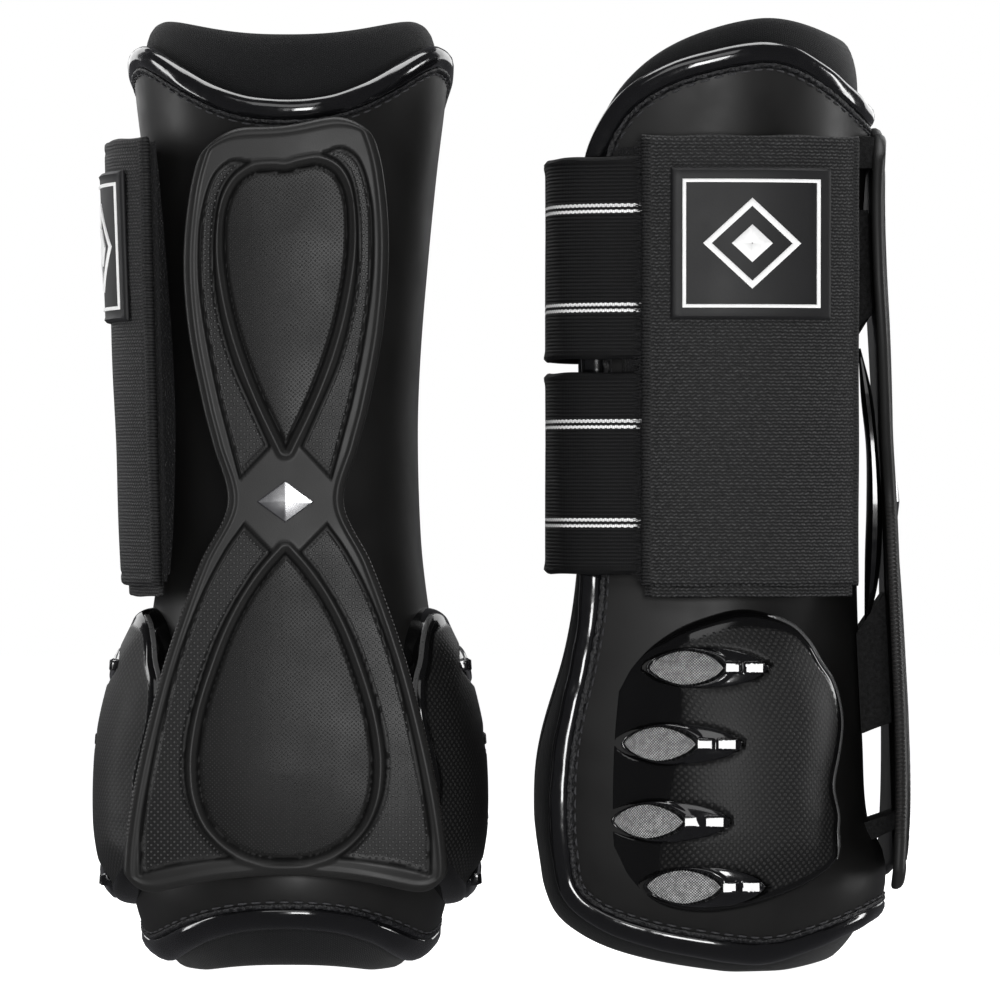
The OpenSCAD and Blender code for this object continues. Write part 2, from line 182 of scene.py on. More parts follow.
def form_point(turn, z, off):
    """Point of the leg form: turn from the rear (outer side positive), height, distance off it."""
    turn, z, off = np.broadcast_arrays(turn, z, off)
    a, rear, front = (along(LEG_FORM, z, c) + off for c in (1, 2, 3))
    t = np.radians(np.abs(turn))
    side = np.where(turn < 0, 1.0, -1.0)
    behind = np.abs(turn) <= 90
    x = np.where(behind, side * a * np.sin(t), side * a * (1 - FRONT_CLOSING * (1 - np.sin(t))))
    y = np.where(behind, -rear, -front) * np.cos(t)
    return stack(x, y, z)


def edge_z(pair, turn):
    return mix(pair[0], pair[1], ease((np.abs(turn) / SIDE_TURN) ** 1.25))


def corner(u, size, power):
    """How far an edge has drawn in towards its corner, u across from -1 to 1."""
    return size * (1 - (1 - np.minimum(np.abs(u), 1) ** power) ** (1 / power))


def turn_limit(pair, z):
    return mix(pair[1], pair[0], ease((z - LOBE_Z) / (LEG_Z - LOBE_Z)))


def layer_edges(bottom, top, corners, turn, u):
    """Heights of a layer's bottom and top edges at a turn, u across from -1 to 1."""
    return (edge_z(bottom, turn) + corner(u, corners[0], BOTTOM_POWER),
            edge_z(top, turn) - corner(u, corners[1], TOP_POWER))


def shell_edges(turn, u):
    return layer_edges(SHELL_LOW, SHELL_HIGH, SHELL_CORNERS, turn, u)


def shell_place(u, v):
    """Turn and height of a point of the shell, u across from -1 to 1 and v up from 0 to 1."""
    z = mix(*shell_edges(SHELL_TURN[1] * u, u), v)
    return u * turn_limit(SHELL_TURN, z), z


def liner_place(u, v):
    low, high = layer_edges(LINER_LOW, LINER_HIGH, LINER_CORNERS, LINER_TURN[1] * u, u)
    z = mix(np.maximum(low, 0), high, v)
    return u * turn_limit(LINER_TURN, z), z


def gather(n, strength):
    """n + 1 steps from -1 to 1, gathered towards the ends."""
    s = np.linspace(-1, 1, n + 1)
    return mix(s, np.sin(s * math.pi / 2), strength)


def arc_mm(turn, z):
    """Length round the leg from the rear, near enough for cloth and grain patterns."""
    return np.radians(turn) * along(LEG_FORM, z, 1)


def loop_normals(points):
    """Unit normals to the right of a closed 2-D loop's direction."""
    d = unit(np.roll(points, -1, 0) - np.roll(points, 1, 0))
    return stack(d[:, 1], -d[:, 0])


def border(layer, count):
    """Closed line round a layer's edge: turn, height, outward normal and length along it."""
    n = 400
    one = np.ones(n)
    across, up = np.linspace(-1, 1, n), np.linspace(0, 1, n)
    fine = np.sin(across * math.pi / 2)
    u = np.concatenate([fine, one, -fine, -one])
    v = np.concatenate([0 * one, up, one, up[::-1]])
    turn, z = layer(u, v)
    flat = stack(arc_mm(turn, z), z)
    step = np.linalg.norm(np.diff(flat, axis=0, append=flat[:1]), axis=1)
    keep = step > 1e-6
    flat, turn = flat[keep], turn[keep]
    s = np.concatenate([[0], np.cumsum(step[keep])])
    at = np.linspace(0, s[-1], count, endpoint=False)
    closed = [np.append(q, q[0]) for q in (turn, flat[:, 1], flat[:, 0])]
    turn, z, arc = (np.interp(at, s, q) for q in closed)
    normals = loop_normals(stack(arc, z))
    for _ in range(4):
        normals = normals + np.roll(normals, 1, 0) + np.roll(normals, -1, 0)
    return turn, z, unit(normals), at


def off_border(edge, g, off):
    """Points at a distance g outside a border line (negative is inside) and off its face."""
    turn, z, normals, _ = edge
    turned = normals[:, 0] * g / arc_mm(1, z)
    return form_point(turn + turned, np.clip(z + normals[:, 1] * g, -2, 262), off)


def route_xy(t, d):
    t = np.clip(t, 0.5, 141.5)
    x, y, e = along(ROUTE, t, 1), along(ROUTE, t, 2), 0.5
    dx = along(ROUTE, t + e, 1) - along(ROUTE, t - e, 1)
    dy = along(ROUTE, t + e, 2) - along(ROUTE, t - e, 2)
    n = np.hypot(dx, dy)
    return x + dy / n * d, y - dx / n * d


def closure_point(t, z, d):
    """Point of the closure: length from the hinge, height, distance off its inner face.
    Below length 0.5 it runs back along the sewn end to the binding."""
    t, z, d = np.broadcast_arrays(t, z, d)
    x, y = route_xy(t, d)
    strap = stack(x * (1 + 0.0008 * (z - STRAPS_MID_Z)), y, z)
    sewn = form_point(-turn_limit(SHELL_TURN, z) - 6.4, z, -2.15 + (d - 0.1) * 0.875)
    share = np.clip((0.5 - t) / (0.5 + ANCHOR_LENGTH), 0, 1)[..., None]
    return mix(strap, sewn, share)


def guard_y(x, z, depth):
    return -along(GUARD_FORM, z, 2) + depth + GUARD_CURL * x * x


def shell_rear_y(x, z, off):
    a, b = along(LEG_FORM, z, 1) + off, along(LEG_FORM, z, 2) + off
    return -b * np.sqrt(np.maximum(1 - (x / a) ** 2, 0.05))


def cup_bulge(z):
    v = np.clip((z - CUP_Z[0]) / (CUP_Z[1] - CUP_Z[0]), 0, 1)
    return 1 - 0.42 * np.abs(2 * v - 1) ** 3


def cup_face(y, z, off):
    """Point on the outer cup's face from its place along the boot and its height."""
    front, rear = along(LEG_FORM, z, 3), along(LEG_FORM, z, 2)
    turn = np.where(y > 0, 90 + np.degrees(np.arcsin(np.clip(y / (front + 4), 0, 0.9))),
                    90 - np.degrees(np.arcsin(np.clip(-y / (rear + 9), 0, 0.9))))
    return form_point(turn, z, along(CUP_RISE, turn, 1) * cup_bulge(z) + off)


# ---------------------------------------------------------------- meshes

def place(points, boot):
    """From a boot's own frame in mm to the shared frame in metres."""
    x, y, z = np.asarray(points, float).reshape(-1, 3).T
    if boot == "a":
        world = stack(x - BOOT_SPACING / 2, y, z)
    else:
        world = stack(BOOT_SPACING / 2 - y, x, z)
    return (world + PAIR_SHIFT) * MM


class Form:
    """A mesh in the making: points and pattern coordinates in mm, faces, named point values."""

    def __init__(self):
        self.points, self.faces, self.uv, self.values = [], [], [], {}
        self.count = 0

    def take(self, points, uv, values):
        points = np.asarray(points, float).reshape(-1, 3)
        uv = np.zeros((len(points), 2)) if uv is None else np.asarray(uv, float).reshape(-1, 2)
        for name in set(self.values) | set(values or {}):
            held = self.values.setdefault(name, [np.zeros(self.count)] if self.count else [])
            held.append(np.zeros(len(points)) if not values or name not in values
                        else np.broadcast_to(np.asarray(values[name], float).ravel(), len(points)))
        self.points.append(points)
        self.uv.append(uv)
        first = self.count
        self.count += len(points)
        return first

    def grid(self, points, uv=None, values=None, wrap_rows=False, wrap_cols=False):
        """Quads over a grid of points, rows by columns; returns the index of each point."""
        rows, cols = points.shape[:2]
        first = self.take(points, uv, values)
        index = first + np.arange(rows * cols).reshape(rows, cols)
        grown = index
        if wrap_rows:
            grown = np.vstack([grown, grown[:1]])
        if wrap_cols:
            grown = np.hstack([grown, grown[:, :1]])
        quads = stack(grown[:-1, :-1], grown[:-1, 1:], grown[1:, 1:], grown[1:, :-1])
        self.faces.extend(quads.reshape(-1, 4).tolist())
        return index

    def bridge(self, one, other):
        """Quads between two closed loops of point indices."""
        self.faces.extend(stack(one, np.roll(one, -1), np.roll(other, -1), other).tolist())

    def cap(self, loop):
        self.faces.append([int(i) for i in loop])

    def tube(self, stations, uv=None, closed=False, values=None):
        """Sections carried along a line, capped at both ends unless the line is closed."""
        index = self.grid(stations, uv, values, wrap_rows=closed, wrap_cols=True)
        if not closed:
            self.cap(index[0])
            self.cap(index[-1][::-1])
        return index

    def slab(self, face, back, uv=None, values=None):
        """Closed solid between two matching grids."""
        one, other = self.grid(face, uv, values), self.grid(back, uv, values)
        self.bridge(rim(one), rim(other))

    def build(self, name, boot, material, crease_deg=50.0):
        mesh = bpy.data.meshes.new(name)
        mesh.from_pydata(place(np.concatenate(self.points), boot).tolist(), [], self.faces)
        layer = mesh.uv_layers.new(name="mm")
        corners = np.empty(len(mesh.loops), np.int32)
        mesh.loops.foreach_get("vertex_index", corners)
        layer.data.foreach_set("uv", np.concatenate(self.uv)[corners].astype(np.float32).ravel())
        for key, held in self.values.items():
            attribute = mesh.attributes.new(key, "FLOAT", "POINT")
            attribute.data.foreach_set("value", np.concatenate(held).astype(np.float32))
        work = bmesh.new()
        work.from_mesh(mesh)
        bmesh.ops.recalc_face_normals(work, faces=work.faces)
        work.to_mesh(mesh)
        work.free()
        mesh.shade_smooth()
        mesh.set_sharp_from_angle(angle=math.radians(crease_deg))
        mesh.materials.append(material)
        piece = bpy.data.objects.new(name, mesh)
        bpy.context.scene.collection.objects.link(piece)
        return piece


def rim(index):
    """The outline of a grid of indices as one closed loop."""
    return np.concatenate([index[0, :-1], index[:-1, -1], index[-1, :0:-1], index[:0:-1, 0]])


def settle(piece, body, slot, *nodes):
    """Rides a finished piece on its body, in place of CAD nodes; the slot is not used."""
    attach(piece, body)
    if nodes:
        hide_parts(*nodes)
    return piece


def pair(form, name, material, slot, nodes=(), body="boot", **look):
    """Builds a form for both boots. Names, bodies and nodes take the boot's letter."""
    made = []
    for boot in BOOTS:
        piece = form.build(f"{name}_{boot}", boot, MAT[material], **look)
        made.append(settle(piece, f"{body}_{boot}", slot, *(f"{n}_{boot}" for n in nodes)))
    return made


def mirrored(form):
    """The same form on the boot's inner side."""
    other = Form()
    other.points = [p * np.array([-1, 1, 1]) for p in form.points]
    other.faces, other.uv, other.values, other.count = form.faces, form.uv, form.values, form.count
    return other


# ---------------------------------------------------------------- materials

def rgba(value):
    """A colour with full alpha, from three channels or from one number for a grey."""
    return (*value, 1) if isinstance(value, tuple) else (value, value, value, 1)


class Value:
    """A number, vector or colour in a material's tree; arithmetic on it adds Math nodes."""

    def __init__(self, shade, socket):
        self.shade, self.socket = shade, socket

    def __add__(self, other):
        return self.shade.math("ADD", self, other)

    def __sub__(self, other):
        return self.shade.math("SUBTRACT", self, other)

    def __rsub__(self, other):
        return self.shade.math("SUBTRACT", other, self)

    def __mul__(self, other):
        return self.shade.math("MULTIPLY", self, other)

    def __truediv__(self, other):
        return self.shade.math("DIVIDE", self, other)

    def size(self):
        return self.shade.math("ABSOLUTE", self)

    def floor(self):
        return self.shade.math("FLOOR", self)

    def zigzag(self, top):
        """Up to the top and back again, without end."""
        return self.shade.math("PINGPONG", self, top)

    def or_more(self, other):
        return self.shade.math("MAXIMUM", self, other)


class Shade:
    """A procedural material in the making."""

    def __init__(self, name, colour, roughness, **shader):
        self.material = bpy.data.materials.new(name)
        self.material.use_nodes = True
        self.tree = self.material.node_tree
        self.shader = next(n for n in self.tree.nodes if n.type == "BSDF_PRINCIPLED")
        self.shader.inputs["Base Color"].default_value = rgba(colour)
        self.shader.inputs["Roughness"].default_value = roughness
        for key, value in shader.items():
            socket = self.shader.inputs[key.replace("_", " ")]
            socket.default_value = rgba(value) if isinstance(value, tuple) else value
        self.normal = None
        self.coords = None

    def node(self, kind, feeds, output=0, **settings):
        made = self.tree.nodes.new("ShaderNode" + kind)
        for key, value in settings.items():
            setattr(made, key, value)
        for key, value in feeds.items():
            self.feed(made.inputs[key], value)
        return Value(self, made.outputs[output])

    def feed(self, socket, value):
        if isinstance(value, Value):
            self.tree.links.new(value.socket, socket)
        else:
            socket.default_value = value

    def math(self, operation, *values):
        return self.node("Math", dict(enumerate(values)), operation=operation)

    def mm(self):
        """The two pattern coordinates, in mm."""
        if self.coords is None:
            first = self.node("SeparateXYZ", {0: self.node("UVMap", {}, uv_map="mm")})
            self.coords = (first, Value(self, first.socket.node.outputs[1]))
        return self.coords

    def solid(self):
        return self.node("TexCoord", {}, "Object")

    def point_value(self, name):
        return self.node("Attribute", {}, "Fac", attribute_name=name)

    def noise(self, feature_mm, detail=2.0, flat=False, roughness=0.5):
        """Noise of a feature size, through the solid or over the flat pattern coordinates."""
        vector = self.node("CombineXYZ", dict(enumerate(self.mm()))) if flat else self.solid()
        scale = 1 / feature_mm if flat else 1 / (feature_mm * MM)
        return self.node("TexNoise", {"Vector": vector, "Scale": scale, "Detail": detail,
                                      "Roughness": roughness})

    def cells(self, scale):
        feeds = {"Vector": self.solid(), "Scale": scale, "Randomness": 1.0}
        return self.node("TexVoronoi", feeds, "Distance", feature="F1")

    def spread(self, value, low, high, to_low=0.0, to_high=1.0, smooth=False):
        feeds = {0: value, 1: low, 2: high, 3: to_low, 4: to_high}
        kind = "SMOOTHSTEP" if smooth else "LINEAR"
        return self.node("MapRange", feeds, interpolation_type=kind)

    def ribs(self, value, pitch):
        """0 to 1 and back once in each pitch."""
        return self.math("SINE", value * (2 * math.pi / pitch)) * 0.5 + 0.5

    def diamonds(self, u, v, pitch):
        """Ribs along both diagonals, multiplied into staggered dots."""
        return self.ribs(u + v, pitch) * self.ribs(u - v, pitch)

    def band(self, value, centre, half, soft):
        """1 within half of the centre, 0 outside."""
        return self.spread((value - centre).size(), half - soft, half + soft, 1.0, 0.0)

    def blend(self, share, one, other):
        """A colour between two, by a share."""
        ends = [q if isinstance(q, Value) else rgba(q) for q in (one, other)]
        return self.node("Mix", {0: share, 6: ends[0], 7: ends[1]}, 2, data_type="RGBA")

    def bump(self, height, depth_mm, strength):
        feeds = {"Height": height, "Distance": depth_mm * MM, "Strength": strength}
        if self.normal is not None:
            feeds["Normal"] = self.normal
        self.normal = self.node("Bump", feeds)

    def colour(self, share, one, other):
        self.feed(self.shader.inputs["Base Color"], self.blend(share, one, other))

    def roughness(self, value):
        self.feed(self.shader.inputs["Roughness"], value)

    def rough(self, value, low, high, to_low, to_high):
        self.roughness(self.spread(value, low, high, to_low, to_high))

    def done(self):
        if self.normal is not None:
            self.feed(self.shader.inputs["Normal"], self.normal)
        return self.material


def shell_satin():
    s = Shade("shell_satin", (0.008, 0.008, 0.0075), 0.45, Specular_IOR_Level=0.42)
    cloudy = s.noise(14, 3)
    s.rough(cloudy, 0.3, 0.7, 0.4, 0.52)
    s.colour(cloudy, (0.0055, 0.0053, 0.0052), (0.0092, 0.009, 0.0087))
    s.bump(s.noise(0.45, 2), 0.03, 0.4)
    s.bump(s.noise(9, 1), 0.25, 0.2)
    return s.done()


def patent_gloss(name, ripple_mm, ripple):
    """Black patent vinyl, slightly puckered where it is rolled over an edge."""
    s = Shade(name, (0.004, 0.004, 0.0045), 0.1, Coat_Weight=0.8, Coat_Roughness=0.04)
    s.rough(s.noise(3, 3), 0.35, 0.7, 0.12, 0.22)
    s.bump(s.noise(ripple_mm, 1.5), ripple, 0.5)
    return s.done()


def neoprene():
    s = Shade("liner_neoprene", (0.005, 0.0053, 0.006), 0.85, Sheen_Weight=0.08,
              Sheen_Roughness=0.5, Specular_IOR_Level=0.3)
    u, v = s.mm()
    knit = s.ribs(u, 0.7) * s.ribs(v + u * 0.5, 0.55)
    worn = s.noise(16, 3)
    s.colour(worn, (0.0028, 0.003, 0.0034), (0.0056, 0.0059, 0.0067))
    s.rough(worn, 0.3, 0.7, 0.76, 0.9)
    s.bump(knit, 0.12, 0.6)
    s.bump(s.noise(5, 2), 0.3, 0.3)
    return s.done()


def foam():
    s = Shade("foam", 0.01, 0.92, Specular_IOR_Level=0.3)
    pores = s.noise(1.1, 4, roughness=0.7)
    s.colour(s.spread(pores, 0.35, 0.7), 0.004, (0.017, 0.017, 0.0175))
    s.bump(pores, 0.3, 0.8)
    s.bump(s.cells(1600), 0.12, 0.5)
    return s.done()


def guard_rubber():
    """Satin grey-black rubber: staggered dots in its side panels, worm-like grain in its drops,
    and painted shade darkening its grooves and the back of the plate.
    """
    s = Shade("guard_satin", (0.013, 0.013, 0.0128), 0.5, Specular_IOR_Level=0.4)
    u, v = s.mm()
    panel, drop, groove, ribbed = (s.point_value(n) for n in ("panel", "drop", "groove", "ribbed"))
    dots = s.spread(s.diamonds(u, v, 1.75), 0.32, 0.8, smooth=True) * panel
    warp = s.noise(1.6, 2, flat=True) * 1.1
    grain = s.spread(s.diamonds(u, v + warp, 1.15), 0.4, 0.9, smooth=True) * drop
    ridges = s.ribs(v, 1.1) * ribbed
    cloudy = s.noise(18, 3)
    base = s.blend(cloudy, (0.0085, 0.0084, 0.0082), (0.0125, 0.0123, 0.012))
    sunk = s.blend(panel.or_more(drop), base, 0.0028)
    speckled = s.blend(dots, s.blend(grain, sunk, (0.034, 0.0335, 0.033)), 0.055)
    # painted shade: the grooves and the plate's back are darkened to near black
    s.colour(ridges, s.blend(groove, speckled, 0.0012), (0.012, 0.0105, 0.01))
    s.roughness(groove * 0.3 + s.spread(cloudy, 0.3, 0.7, 0.38, 0.48))
    s.bump(dots + grain * 0.7, 0.36, 0.9)
    s.bump(ridges, 0.25, 0.9)
    s.bump(s.noise(0.35, 2, flat=True), 0.05, 0.5)
    return s.done()


def chrome():
    s = Shade("badge_metal", (0.72, 0.72, 0.73), 0.2, Metallic=1.0)
    streaks = s.noise(6, 2)
    s.rough(streaks, 0.3, 0.75, 0.2, 0.3)
    s.colour(streaks, (0.42, 0.42, 0.43), (0.6, 0.6, 0.61))
    return s.done()


def cup_vinyl():
    """Glossy moulded vinyl, knurled in staggered rows of small dots on its broad rear part."""
    s = Shade("cup_pebbled", (0.004, 0.004, 0.0042), 0.14, Specular_IOR_Level=0.5)
    u, v = s.mm()
    pebbled = s.point_value("pebbled")
    wander = s.noise(6, 1, flat=True) * 0.8 + v
    raised = s.spread(s.diamonds(u / 1.45, wander / 1.9, 1.0), 0.1, 0.62, smooth=True) * pebbled
    s.colour(raised, (0.0032, 0.0032, 0.0033), (0.015, 0.0148, 0.0143))
    s.roughness(pebbled * 0.42 + 0.1)
    s.bump(raised, 0.13, 0.6)
    s.bump(s.noise(7, 1), 0.15, 0.3)
    return s.done()


def lip_painted_highlight():
    """Semi-gloss edge of the cup, painted light grey as a highlight."""
    # light grey base colour: a painted highlight along the cup's rear edge
    s = Shade("cup_lip", 0.06, 0.24, Specular_IOR_Level=1.0)
    s.rough(s.noise(4, 3), 0.35, 0.7, 0.24, 0.34)
    s.bump(s.noise(0.5, 2), 0.01, 0.3)
    return s.done()


def metal_mesh():
    """Fine woven steel: over and under threads with dark holes between them."""
    s = Shade("vent_metal", (0.4, 0.4, 0.41), 0.4, Metallic=0.45)
    u, v = s.mm()
    one, other = s.ribs(u + v, 0.75), s.ribs(u - v, 0.75)
    weave = one.or_more(other) + one * other
    glint = s.spread(s.noise(1.1, 3), 0.35, 0.62, 0.45, 1.0)
    s.colour(s.spread(weave, 0.5, 1.9) * glint, 0.05, 1.0)
    s.rough(s.noise(2.5, 2), 0.3, 0.7, 0.38, 0.55)
    s.bump(weave, 0.15, 0.8)
    return s.done()


def elastic(name, low):
    """Ribbed elastic with a firm woven edge and two pairs of white lines."""
    s = Shade(name, (0.004, 0.004, 0.0045), 0.75, Specular_IOR_Level=0.35)
    u, v = s.mm()
    across = v - low
    threads = s.ribs(u, 0.62)
    jagged = across + ((u / 0.8).floor().zigzag(1.0) * 0.16 - 0.08)
    lines = [s.band(jagged, STRAP_W * share + shift, 0.38, 0.06)
             for share in (0.255, 0.745) for shift in (-0.78, 0.78)]
    white = lines[0].or_more(lines[1]).or_more(lines[2]).or_more(lines[3])
    middle = (across - STRAP_W / 2).size()
    edge = s.spread(middle, STRAP_W / 2 - 2.3, STRAP_W / 2 - 1.9)
    ribs = s.ribs(across, 0.98) * (1.0 - edge * 0.8)
    black = s.blend(ribs * (threads * 0.4 + 0.6), (0.002, 0.002, 0.0023), (0.012, 0.0123, 0.013))
    s.colour(white, black, s.blend(threads, 0.65, 0.95))
    s.bump(ribs + white * 0.4, 0.28, 0.9)
    s.bump(threads, 0.07, 0.6)
    s.bump(s.noise(0.3, 2, flat=True), 0.03, 0.5)
    return s.done()


def woven_tape():
    """Close cross-ribbed tape: zigzag rows of short bright dashes, a ribbed selvedge each side."""
    s = Shade("woven_tape", (0.006, 0.006, 0.0062), 0.62, Specular_IOR_Level=0.4)
    u, v = s.mm()
    level = v + s.noise(4, 2, flat=True) * 0.5 + (u / 0.75).zigzag(1.0) * 0.22
    rows = s.ribs(level, 0.9)
    column = u / 1.45 + (level / 0.9).floor() * 0.37
    dash = s.spread(column.zigzag(0.5), 0.08, 0.3, smooth=True)
    flecks = s.noise(1.5, 2, flat=True)
    lit = rows * (dash * 0.65 + 0.35) * s.spread(flecks, 0.35, 0.65, 0.45, 1.0)
    middle, half = (TAB_T0 + TAB_T1) / 2, (TAB_T1 - TAB_T0) / 2
    selvedge = s.spread((u - middle).size(), half - 2.6, half - 2.2)
    ribs = s.ribs(v, 0.9)
    woven = s.blend(lit, (0.0018, 0.0018, 0.002), (0.05, 0.05, 0.051))
    plain = s.blend(ribs, (0.002, 0.002, 0.0022), (0.016, 0.016, 0.0165))
    s.colour(selvedge, woven, plain)
    s.bump(rows * dash, 0.22, 0.8)
    s.bump(ribs * selvedge, 0.2, 0.8)
    s.bump(flecks, 0.06, 0.4)
    return s.done()


def pile():
    """Short looped pile and frayed cut edges."""
    s = Shade("pile", (0.004, 0.004, 0.0045), 0.95, Sheen_Weight=0.12, Sheen_Roughness=0.4)
    loops = s.noise(0.7, 3)
    s.colour(loops, (0.0015, 0.0015, 0.002), (0.011, 0.011, 0.012))
    s.bump(loops, 0.6, 0.9)
    s.bump(s.cells(1500), 0.3, 0.7)
    return s.done()


def patch_rubber():
    s = Shade("patch_rubber", (0.006, 0.006, 0.0065), 0.42)
    grain = s.noise(0.5, 2)
    s.rough(s.noise(12, 2), 0.3, 0.7, 0.52, 0.58)
    s.colour(grain, (0.005, 0.005, 0.0055), (0.010, 0.010, 0.011))
    s.bump(grain, 0.04, 0.4)
    return s.done()


def frame_white():
    s = Shade("frame_white", 0.8, 0.45)
    s.colour(s.noise(1.5, 3), (0.74, 0.74, 0.73), 0.86)
    s.bump(s.noise(0.5, 2), 0.03, 0.3)
    return s.done()


def thread(name, dark, light):
    """Twisted sewing thread."""
    s = Shade(name, dark, 0.6)
    twist = s.noise(0.3, 2)
    s.colour(twist, dark, light)
    s.bump(twist, 0.08, 0.7)
    return s.done()


def seam_grit():
    """Raised, rough welt between binding and shell, with small bright specks."""
    s = Shade("seam_grit", (0.006, 0.006, 0.007), 0.42)
    grit = s.noise(0.8, 3)
    s.colour(s.spread(grit, 0.45, 0.75), (0.003, 0.003, 0.0035), (0.03, 0.03, 0.033))
    s.bump(grit, 0.6, 0.9)
    return s.done()


def studio_white():
    s = Shade("studio_white", 0.9, 0.9, Specular_IOR_Level=0.0, Emission_Color=(1.0, 1.0, 1.0),
              Emission_Strength=0.96)
    s.colour(s.noise(400, 1), 0.895, 0.905)
    return s.done()


MAT = {
    "shell": shell_satin(), "binding": patent_gloss("binding_gloss", 5.0, 0.35),
    "trim": patent_gloss("trim_gloss", 9.0, 0.15), "liner": neoprene(), "foam": foam(),
    "guard": guard_rubber(), "metal": chrome(), "cup": cup_vinyl(), "mesh": metal_mesh(),
    "lip": lip_painted_highlight(), "tape": woven_tape(), "pile": pile(), "patch": patch_rubber(),
    "white": frame_white(), "seam": seam_grit(),
    "stitch": thread("stitch_black", (0.012, 0.012, 0.013), (0.05, 0.05, 0.055)),
}
ELASTIC = {part: elastic(f"elastic_{part}", low) for part, low in STRAP_LOW.items()}


# ---------------------------------------------------------------- shell, binding, liner

def outer_shell():
    turn, z = shell_place(*mesh_steps(gather(96, 0.6), 72))
    form = Form()
    form.slab(form_point(turn, z, 0), form_point(turn, z, -SHELL_T), stack(arc_mm(turn, z), z))
    pair(form, "shell", "shell", "shell_satin", ["outer_shell"])


# Roll of the binding: distance outside the shell's edge, distance off its face
BINDING_SECTION = ((-1.5, -0.3), (-1.25, 0.55), (-0.5, 1.2), (0.6, 1.6), (1.9, 1.65), (3.1, 1.3),
                   (4.0, 0.5), (4.5, -0.6), (4.5, -1.7), (4.0, -2.35), (2.0, -2.45), (0.0, -2.42))


def shell_binding():
    edge = border(shell_place, 560)
    # slow swells, where the vinyl was pulled round the edge
    swell = 0.16 * np.sin(edge[3] / 7.3) * np.sin(edge[3] / 3.1 + 1)
    stations = np.stack([off_border(edge, g + swell * (g > 0) * 0.6, off + swell * (off > 0))
                         for g, off in BINDING_SECTION], 1)
    form = Form()
    form.tube(stations, closed=True)
    pair(form, "binding", "binding", "binding_gloss", ["shell_binding"])

    welt = Form()
    rough = 0.16 * np.sin(edge[3] * 2.9) * np.sin(edge[3] * 1.3)
    section = ((-1.2, 0.0), (-1.4, 0.75), (-1.9, 0.85), (-2.5, 0.5), (-2.7, -0.2))
    stations = np.stack([off_border(edge, g + rough, off + rough * (off > 0.1))
                         for g, off in section], 1)
    welt.tube(stations, closed=True)
    pair(welt, "binding_welt", "seam", "binding_gloss")
    stitches("binding_stitches", border(shell_place, 3000), g=-3.1, off=0.12, length=2.6, gap=1.0,
             radius=0.32)


def stitches(name, edge, g, off, length, gap, radius):
    """A row of sewn stitches along a border line, each a small rounded bead."""
    line = off_border(edge, g, off)
    out = off_border(edge, g, off + 1) - line
    s = edge[3]
    total = s[-1] + s[1]
    count = int(total / (length + gap))
    form = Form()
    angles = np.linspace(0, 2 * math.pi, 6, endpoint=False)[None, :, None]
    steps = np.array([-0.5, -0.3, 0.0, 0.3, 0.5]) * length
    size = radius * np.array([0.35, 0.9, 1.0, 0.9, 0.35])[:, None, None]
    lift = np.array([-0.25, 0.05, 0.15, 0.05, -0.25])[:, None]
    for k in range(count):
        at = (k + 0.5) * total / count + steps
        spine = np.stack([np.interp(at, s, line[:, c], period=total) for c in range(3)], 1)
        up = unit(np.array([np.interp(at[2], s, out[:, c], period=total) for c in range(3)]))
        side = np.cross(unit(spine[-1] - spine[0]), up)
        ring = np.cos(angles) * side + np.sin(angles) * up
        form.tube((spine + lift * up)[:, None] + size * ring)
    pair(form, name, "stitch", "binding_gloss")


def bare_share(u, v):
    """How far a liner point lies outside the shell: 0 under it, 1 at the liner's edge."""
    turn, z = liner_place(u, v)
    limit = turn_limit(SHELL_TURN, z)
    low, high = shell_edges(turn, np.clip(turn / limit, -1, 1))
    past = np.maximum.reduce([(np.abs(turn) - limit) * 0.75, low - z, z - high])
    return ease((past - 4.5) / 4)


def liner_form():
    """The padded liner as one closed skin: outer face, inner face, a rounded edge between."""
    u, v = mesh_steps(gather(72, 0.5), 60)
    turn, z = liner_place(u, v)
    uv = stack(arc_mm(turn, z), z)
    near = edge_gap(np.abs(u) * 105, v * 240, (-105, 105), (0, 240))
    pinch = 2.6 * (1 - ease(near / 7)) ** 1.5
    form = Form()
    bare = bare_share(u, v)
    outer = form.grid(form_point(turn, z, LINER_OUT - pinch * 0.6), uv, {"bare": bare})
    inner = form.grid(form_point(turn, z, LINER_IN + pinch), uv, {"bare": bare * 0.6})
    middle_turn = turn + np.sign(u) * 1.6 * (np.abs(u) > 0.999)
    middle_z = np.maximum(z + 1.2 * (v > 0.999), 0.6)
    mid = form_point(middle_turn, middle_z, (LINER_OUT + LINER_IN) / 2)
    edge = rim(outer) - outer[0, 0]
    first = form.take(mid.reshape(-1, 3)[edge], uv.reshape(-1, 2)[edge], {"bare": 1})
    ring = first + np.arange(len(edge))
    form.bridge(rim(outer), ring)
    form.bridge(ring, rim(inner))
    return form


def bare_values(mesh):
    bare = np.zeros(len(mesh.vertices), np.float32)
    mesh.attributes["bare"].data.foreach_get("value", bare)
    return bare


